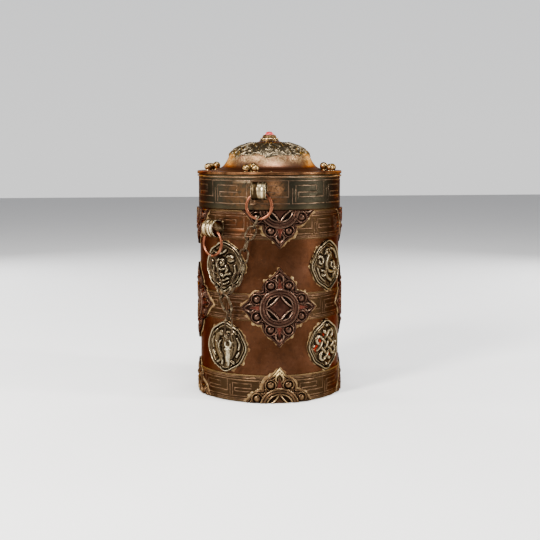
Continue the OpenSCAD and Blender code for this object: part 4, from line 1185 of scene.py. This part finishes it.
def strap(az, zc, back, seed):
    """A strap rolled into a tube, its end lapped behind, flared where it is soldered on."""
    R, O = local(az, LOOP_C, zc)
    ro, ri = 6.36, 5.52
    # the roll's centre line, from the lap on the back, over the top and round
    th = np.radians(np.linspace(-150, 185, 64))
    rm = np.interp(np.degrees(th), [-150, 150, 185], [(ro + ri) / 2, (ro + ri) / 2, (ro + ri) / 2 + 0.0])
    # angle 0 points outward, 90 up
    nx = 26
    tt = np.linspace(-1, 1, nx)
    V, F, off = [], [], 0
    prof = []
    m = len(th)
    thick = (ro - ri) / 2
    for side in (1, -1):
        for i, q in enumerate(th):
            flare = 5.25 + 0.25 * smooth(math.radians(-60), math.radians(-150), q)
            for x in tt:
                e = thick * math.sqrt(max(0.0, 1 - max(0.0, (abs(x) - 0.86) / 0.14) ** 2))
                groove = 0.16 * math.cos(x * 9.0) * (abs(x) < 0.85)
                wv = 0.05 * float(noise(x * 3 + seed, q * 2, 0, seed))
                rr = rm[i] + side * max(e, 0.12) + (groove + wv if side == 1 else 0) * 0.6
                rr = min(rr, 6.39)
                V.append((x * flare, rr * math.cos(q), rr * math.sin(q)))
    V = np.array(V).reshape(2, m, nx, 3)
    verts = V.reshape(-1, 3)
    xs_ = np.broadcast_to(tt[None, None, :], (2, m, nx))
    qs_ = np.broadcast_to(th[None, :, None], (2, m, nx))
    # streak: real streaks from noise, made darker towards the underside of the roll as painted shade
    streak = np.clip(0.5 + 0.55 * noise(xs_ * 4.2 + seed, qs_ * 0.5, 0, seed) + 0.3 * noise(xs_ * 9.5, qs_ * 0.9, 0, seed + 1) - 0.30 * smooth(math.radians(40), math.radians(-80), qs_), 0, 1)
    # the inner side of the roll is marked for painted shade
    inner = np.zeros((2, m, nx))
    inner[1] = 0.95
    rim = (abs(xs_) > 0.93) * 1.0
    rim[1] = 0.0
    inner[1] *= (abs(xs_[1]) < 0.93)
    at1 = {"streak": streak.ravel(), "inner": inner.ravel(), "rim": rim.ravel()}
    Fo = grid_faces(m, nx)
    Fi = grid_faces(m, nx, off=m * nx)[:, ::-1]
    faces = np.vstack([Fo, Fi]).tolist()
    A, B = 0, m * nx
    for i in range(m - 1):
        faces.append([A + i * nx, B + i * nx, B + (i + 1) * nx, A + (i + 1) * nx])
        faces.append([A + i * nx + nx - 1, A + (i + 1) * nx + nx - 1, B + (i + 1) * nx + nx - 1, B + i * nx + nx - 1])
    for j in range(nx - 1):
        faces.append([A + j, A + j + 1, B + j + 1, B + j])
        k = (m - 1) * nx
        faces.append([A + k + j + 1, A + k + j, B + k + j, B + k + j + 1])
    W = O + verts @ R
    # the soldered foot behind the roll
    ny, nz = 20, 16
    yy, zz = np.linspace(-1, 1, ny), np.linspace(-6.2, 5.2, nz)
    YY, ZZ = np.meshgrid(yy, zz, indexing="ij")
    half = 4.2 + 0.2 * noise(ZZ / 2, seed, 0, seed)
    X = YY * half
    edge = np.minimum(smooth(1.0, 0.8, abs(YY)), np.minimum(smooth(-6.2, -5.4, ZZ), smooth(5.2, 4.4, ZZ)))
    a = math.radians(az) + X / back
    rr = back + 0.02 + 0.75 * edge + 0.1 * noise(X / 1.5, ZZ / 1.5, 0, seed + 2) * edge
    pv = np.stack([rr * np.sin(a), -rr * np.cos(a), zc + ZZ], -1).reshape(-1, 3)
    # the foot gets a low streak and a high inner: painted shadow behind the roll
    at2 = {"streak": np.full(len(pv), 0.25), "inner": np.full(len(pv), 0.55), "rim": np.zeros(len(pv))}
    parts = [(W, faces, at1), (pv, grid_faces(ny, nz), at2)]
    return join(parts)


for nm, az, zc, back, body, node in (("lid_loop_strap", -15, 152.6, LID, "lid", "lid_loop"), ("drum_loop_strap", -51, 125.4, BAND, "drum", "body_loop")):
    V, F, A = strap(az, zc, back, 31 if az == -15 else 77)
    build(nm, V, F, MAT_LOOP, body, [node], A, sharp=60)


def copper_ring(az, zc, seed):
    R, O = local(az, LOOP_C, zc - 10.5)
    a = np.linspace(0, 2 * PI, 128, endpoint=False)
    rr = 8.9 + 0.06 * noise(np.cos(a) * 1.5 + seed, np.sin(a) * 1.5, 0, seed)
    P = O + np.stack([rr * np.cos(a), 0 * a, rr * np.sin(a)], -1) @ R
    w = 1.06 + 0.04 * noise(np.cos(a) * 4 + 2, np.sin(a) * 4, 0, seed + 1)
    # the butt joint of the bent wire
    w = w - 0.18 * np.exp(-(((a - 2.2) / 0.018) ** 2))
    return tube_wire(P, w, 20)


for nm, az, zc, body, node in (("lid_ring_wire", -15, 152.6, "lid_ring_body", "lid_ring"), ("drum_ring_wire", -51, 125.4, "drum_ring_body", "body_ring")):
    V, F = copper_ring(az, zc, 5 if az == -15 else 9)
    build(nm, V, F, MAT_RING, body, [node])


def link_frame(a, b, flat):
    m = (a + b) / 2
    z = (a - b) / np.linalg.norm(a - b)
    rad = np.array([m[0], m[1], 0])
    rad /= np.linalg.norm(rad)
    tx = np.cross(rad, z)
    tx /= np.linalg.norm(tx)
    rx = np.cross(z, tx)
    x = tx if flat else rx
    return np.array([x, np.cross(z, x), z]), m


def make_link(a, b, flat, lo, wo, w, seed):
    """One bent-wire link: a stadium of round wire, a little uneven, with its closing seam on one side."""
    R, m = link_frame(a, b, flat)
    rr, s = wo / 2 - w, lo / 2 - wo / 2
    t = np.linspace(0, PI, 15)
    pts = [(rr * math.cos(q), rr * math.sin(q) + s) for q in t] + [(-rr, y) for y in np.linspace(s, -s, 8)[1:-1]]
    pts += [(-rr * math.cos(q), -rr * math.sin(q) - s) for q in t] + [(rr, y) for y in np.linspace(-s, s, 8)[1:-1]]
    pts = np.array(pts)
    n = len(pts)
    k = np.arange(n)
    bend = 0.10 * noise(pts[:, 1] / 3, pts[:, 0] / 3, 0, seed)
    P = np.stack([pts[:, 0] * (1 + 0.02 * noise(seed, 1, 0, 3)), 0 * bend, pts[:, 1]], -1)
    wr = w * (1.09 + 0.05 * noise(k / 5.0, seed, 0, 6))
    seam = n - 3
    wr = np.where(abs(k - seam) < 1, wr * 0.82, wr)
    return tube_wire(m + P @ R, wr, 12)


def chain_leg(points, first, seed, w=0.6):
    p = [pol(*q) for q in points]
    out = []
    for i in range(len(p) - 1):
        f = (i + first) % 2
        lo = round((np.linalg.norm(p[i] - p[i + 1]) + 4 * w + 0.3) * 10) / 10
        out.append(make_link(p[i], p[i + 1], f, lo, 7.4 if f else 6.6, w, seed + i))
    return out


LID_LEG = [(-15.3, LOOP_C, 134.7), (-18.8, 59.4, 126.9), (-22.8, 59.2, 119.2), (-25.2, 59, 110.9), (-26.6, 59, 102.4), (-28.9, 59, 94.0), (-32.4, 59, 86.1), (-37.0, 59, 79.4)]
DRUM_LEG = [(-51.0, LOOP_C, 107.3), (-50.3, 59.2, 100.9), (-48.6, 59, 94.7), (-46.9, 59, 88.8), (-45.4, 59, 83.0), (-42.9, 59, 77.2)]
TAIL = [(-37.2, 59, 66.6), (-37.4, 59, 61.4), (-37.9, 59, 49.8), (-38.2, 59, 45.0)]

V, F, A = join(chain_leg(LID_LEG, 0, 800))
build("lid_chain_links", V, F, MAT_CHAIN, "lid_chain_leg", ["lid_chain"])
V, F, A = join(chain_leg(DRUM_LEG, 0, 820))
build("drum_chain_links", V, F, MAT_CHAIN, "drum_chain_leg", ["body_chain"])
V, F = make_link(pol(-42.4, 59, 77.6), pol(-37.2, 59, 67.0), 1, 15, 8.4, 0.75, 850)
build("junction_oval_link", V, F, MAT_CHAIN, "drum_chain_leg", ["junction_link"])
p = [pol(*q) for q in TAIL]
L = lambda a, b, x: round((np.linalg.norm(a - b) + 2.4 + x) * 10) / 10
V, F, A = join([make_link(p[0], p[1], 0, L(p[0], p[1], 1.2), 6, 0.6, 861), make_link(p[1], p[2], 1, L(p[1], p[2], 0.3), 6.6, 0.6, 862), make_link(p[2], p[3], 0, L(p[2], p[3], 0.9), 6, 0.6, 863)])
build("tail_wire_links", V, F, MAT_CHAIN, "chain_tail", ["tail_links"])

# the pin: a wire eye, a collar and a tapered, split shank
R, O = local(-38.2, 59, 0)
a = np.linspace(0, 2 * PI, 48, endpoint=False)
eye = O + np.stack([2.4 * np.cos(a), 0 * a, 43.1 + 2.4 * np.sin(a)], -1) @ R
parts = [tube_wire(eye, 0.62, 12)]
prof = [(0.01, 41.0), (1.2, 40.95), (1.55, 40.5), (1.7, 40.1), (2.15, 39.75), (2.28, 39.2), (2.15, 38.65), (1.7, 38.3), (1.55, 37.9), (1.62, 36.5), (1.68, 34.0), (1.5, 31.5), (1.25, 29.0), (1.05, 27.6), (0.5, 26.9), (0.01, 26.85)]
P, FF = lathe(prof, 32, close=False)
split = smooth(34.5, 33.5, P[:, 2])
notch = np.abs(P[:, 0]) < 0.30
P[:, 1] = P[:, 1] * (1 - 0.55 * split * notch)
P = O + P @ np.array([[R[0][0], R[0][1], 0], [-R[1][0], -R[1][1], 0], [0, 0, 1.0]])
parts.append((P, FF))
V, F, A = join(parts)
build("latch_pin_shank", V, F, MAT_PIN, "pin_body", ["latch_pin"], sharp=60)


# ---------------------------------------------------------------- CAD nodes that stay, with their own materials
def wood_mat():
    m = Mat("core_wood_mat", 0.0)
    f = m.noise(3, 6, 0.6, 1.5, stretch=(1, 1, 0.08))
    col = m.ramp(f, [(0.3, (0.16, 0.075, 0.028)), (0.5, (0.30, 0.16, 0.065)), (0.7, (0.44, 0.27, 0.12))])
    m.bump(f, 0.25, 0.2)
    return m.finish(col, m.span(f, 0.3, 0.7, 0.6, 0.45))


def paper_mat():
    m = Mat("scroll_paper_mat", 0.0)
    r = m.node("ShaderNodeVectorMath", operation="LENGTH")
    mp = m.node("ShaderNodeMapping")
    mp.inputs["Scale"].default_value = (1, 1, 0)
    m.nt.links.new(m.co, mp.inputs[0])
    m.nt.links.new(mp.outputs[0], r.inputs[0])
    rad = m.math("ADD", r.outputs["Value"], m.math("MULTIPLY", m.noise(14, 3, 0.5), 0.0012))
    lay = m.math("SINE", m.math("MULTIPLY", rad, 9000.0))
    col = m.ramp(m.noise(10, 5, 0.6, seed=2), [(0.3, (0.50, 0.38, 0.20)), (0.6, (0.72, 0.61, 0.40))])
    col = m.mix(m.span(lay, -1, 1, 0.55, 0.0), col, (0.26, 0.17, 0.08))
    m.bump(lay, 0.6, 0.25)
    return m.finish(col, m.span(lay, -1, 1, 0.9, 0.75))


def silk_mat():
    m = Mat("wrapper_silk_mat", 0.0)
    w = m.node("ShaderNodeTexVoronoi")
    w.inputs["Scale"].default_value = 190
    m.nt.links.new(m.co, w.inputs["Vector"])
    f = m.span(w.outputs["Distance"], 0.1, 0.6)
    col = m.ramp(f, [(0.2, (0.62, 0.36, 0.07)), (0.42, (0.34, 0.02, 0.02)), (0.9, (0.22, 0.012, 0.014))])
    m.b.inputs["Sheen Weight"].default_value = 0.5
    m.bump(m.noise(0.5, 3, 0.6), 0.4, 0.1)
    return m.finish(col, m.span(f, 0, 1, 0.5, 0.7))


def tie_mat():
    m = Mat("tie_cord_mat", 0.0)
    f = m.noise(0.8, 4, 0.7)
    col = m.ramp(f, [(0.3, (0.36, 0.20, 0.04)), (0.7, (0.70, 0.48, 0.14))])
    m.bump(f, 0.6, 0.2)
    return m.finish(col, m.span(f, 0.3, 0.7, 0.85, 0.65))


STAY = {
    "foot": MAT_FOOT, "spindle": MAT_STEEL, "thrust_washer": MAT_BRASS, "spindle_nut": MAT_BRASS, "base_plate": MAT_WALL, "lower_bush": MAT_BRASS,
    "neck_collar": MAT_WALL, "bridge_bar": MAT_BRASS, "upper_bush": MAT_BRASS, "scroll_core": wood_mat(), "prayer_scroll": paper_mat(),
    "scroll_wrapper": silk_mat(), "scroll_ties": tie_mat(), "finial_stud": MAT_BRASS, "finial_nut": MAT_BRASS,
}
for nm, mt in STAY.items():
    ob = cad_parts[nm]
    if not ob.material_slots:
        ob.data.materials.append(mt)
    for s in ob.material_slots:
        s.material = mt

# ---------------------------------------------------------------- floor, lights, camera
def pale_mat(name, c, rough=0.7):
    m = Mat(name, 0.0)
    n = m.noise(60, 3, 0.5)
    return m.finish(m.ramp(n, [(0.3, tuple(q * 0.985 for q in c)), (0.7, c)]), rough)


def quad(name, pts, mat):
    me = bpy.data.meshes.new(name)
    me.from_pydata([tuple(q) for q in pts], [], [list(range(len(pts)))])
    ob = bpy.data.objects.new(name, me)
    bpy.context.scene.collection.objects.link(ob)
    me.materials.append(mat)
    return ob


quad("floor", [(-3, -3, 0), (3, -3, 0), (3, 3, 0), (-3, 3, 0)], pale_mat("floor_mat", (0.86, 0.86, 0.86)))


def area(name, az, dist, z, size, power, color=(1, 1, 1), aim=(0, 0, 0.1), shape=None):
    li = bpy.data.lights.new(name, "AREA")
    li.energy, li.color = power, color
    li.shape = "RECTANGLE"
    li.size, li.size_y = size
    ob = bpy.data.objects.new(name, li)
    a = math.radians(az)
    ob.location = (dist * math.sin(a), -dist * math.cos(a), z)
    ob.rotation_euler = (Vector(aim) - ob.location).to_track_quat("-Z", "Y").to_euler()
    bpy.context.scene.collection.objects.link(ob)
    return ob


area("key_left", -46, 0.95, 0.62, (0.20, 0.26), 27, (1.0, 0.96, 0.90))
area("strip_left", -92, 0.8, 0.35, (0.08, 0.7), 4.5, (1.0, 0.96, 0.92))
area("strip_right", 62, 0.9, 0.40, (0.10, 0.7), 12, (1.0, 0.97, 0.93))
area("top_soft", 8, 0.40, 1.15, (0.4, 0.4), 15)
area("back_left", -150, 0.9, 0.45, (0.25, 0.6), 6)
area("back_right", 135, 0.9, 0.45, (0.25, 0.6), 6)

world = bpy.data.worlds.new("studio")
bpy.context.scene.world = world
world.use_nodes = True
wt = world.node_tree
bg = wt.nodes["Background"]
tc = wt.nodes.new("ShaderNodeTexCoord")
sx_ = wt.nodes.new("ShaderNodeSeparateXYZ")
rp = wt.nodes.new("ShaderNodeValToRGB")
wt.links.new(tc.outputs["Generated"], sx_.inputs[0])
wt.links.new(sx_.outputs[2], rp.inputs[0])
wt.links.new(rp.outputs[0], bg.inputs[0])
rp.color_ramp.elements[0].position, rp.color_ramp.elements[0].color = 0.0, (1.0, 1.0, 1.0, 1)
rp.color_ramp.elements[1].position, rp.color_ramp.elements[1].color = 0.75, (0.16, 0.16, 0.17, 1)
e = rp.color_ramp.elements.new(0.22)
e.color = (0.85, 0.86, 0.88, 1)
bg.inputs[1].default_value = 1.15

cam = bpy.data.cameras.new("camera")
co = bpy.data.objects.new("camera", cam)
bpy.context.scene.collection.objects.link(co)
CAZ, CD, CZ, PITCH = math.radians(-8.0), 0.826, 0.186, math.radians(6.6)
co.location = (CD * math.sin(CAZ), -CD * math.cos(CAZ), CZ)
fwd = Vector((-math.sin(CAZ) * math.cos(PITCH), math.cos(CAZ) * math.cos(PITCH), -math.sin(PITCH)))
co.rotation_euler = fwd.to_track_quat("-Z", "Y").to_euler()
cam.sensor_width = 36
cam.lens = 1100.0 * 36 / 540
cam.shift_x = 0.6 / 540
cam.clip_start = 0.02
cam.clip_end = 20
cam.dof.use_dof = False
bpy.context.scene.camera = co
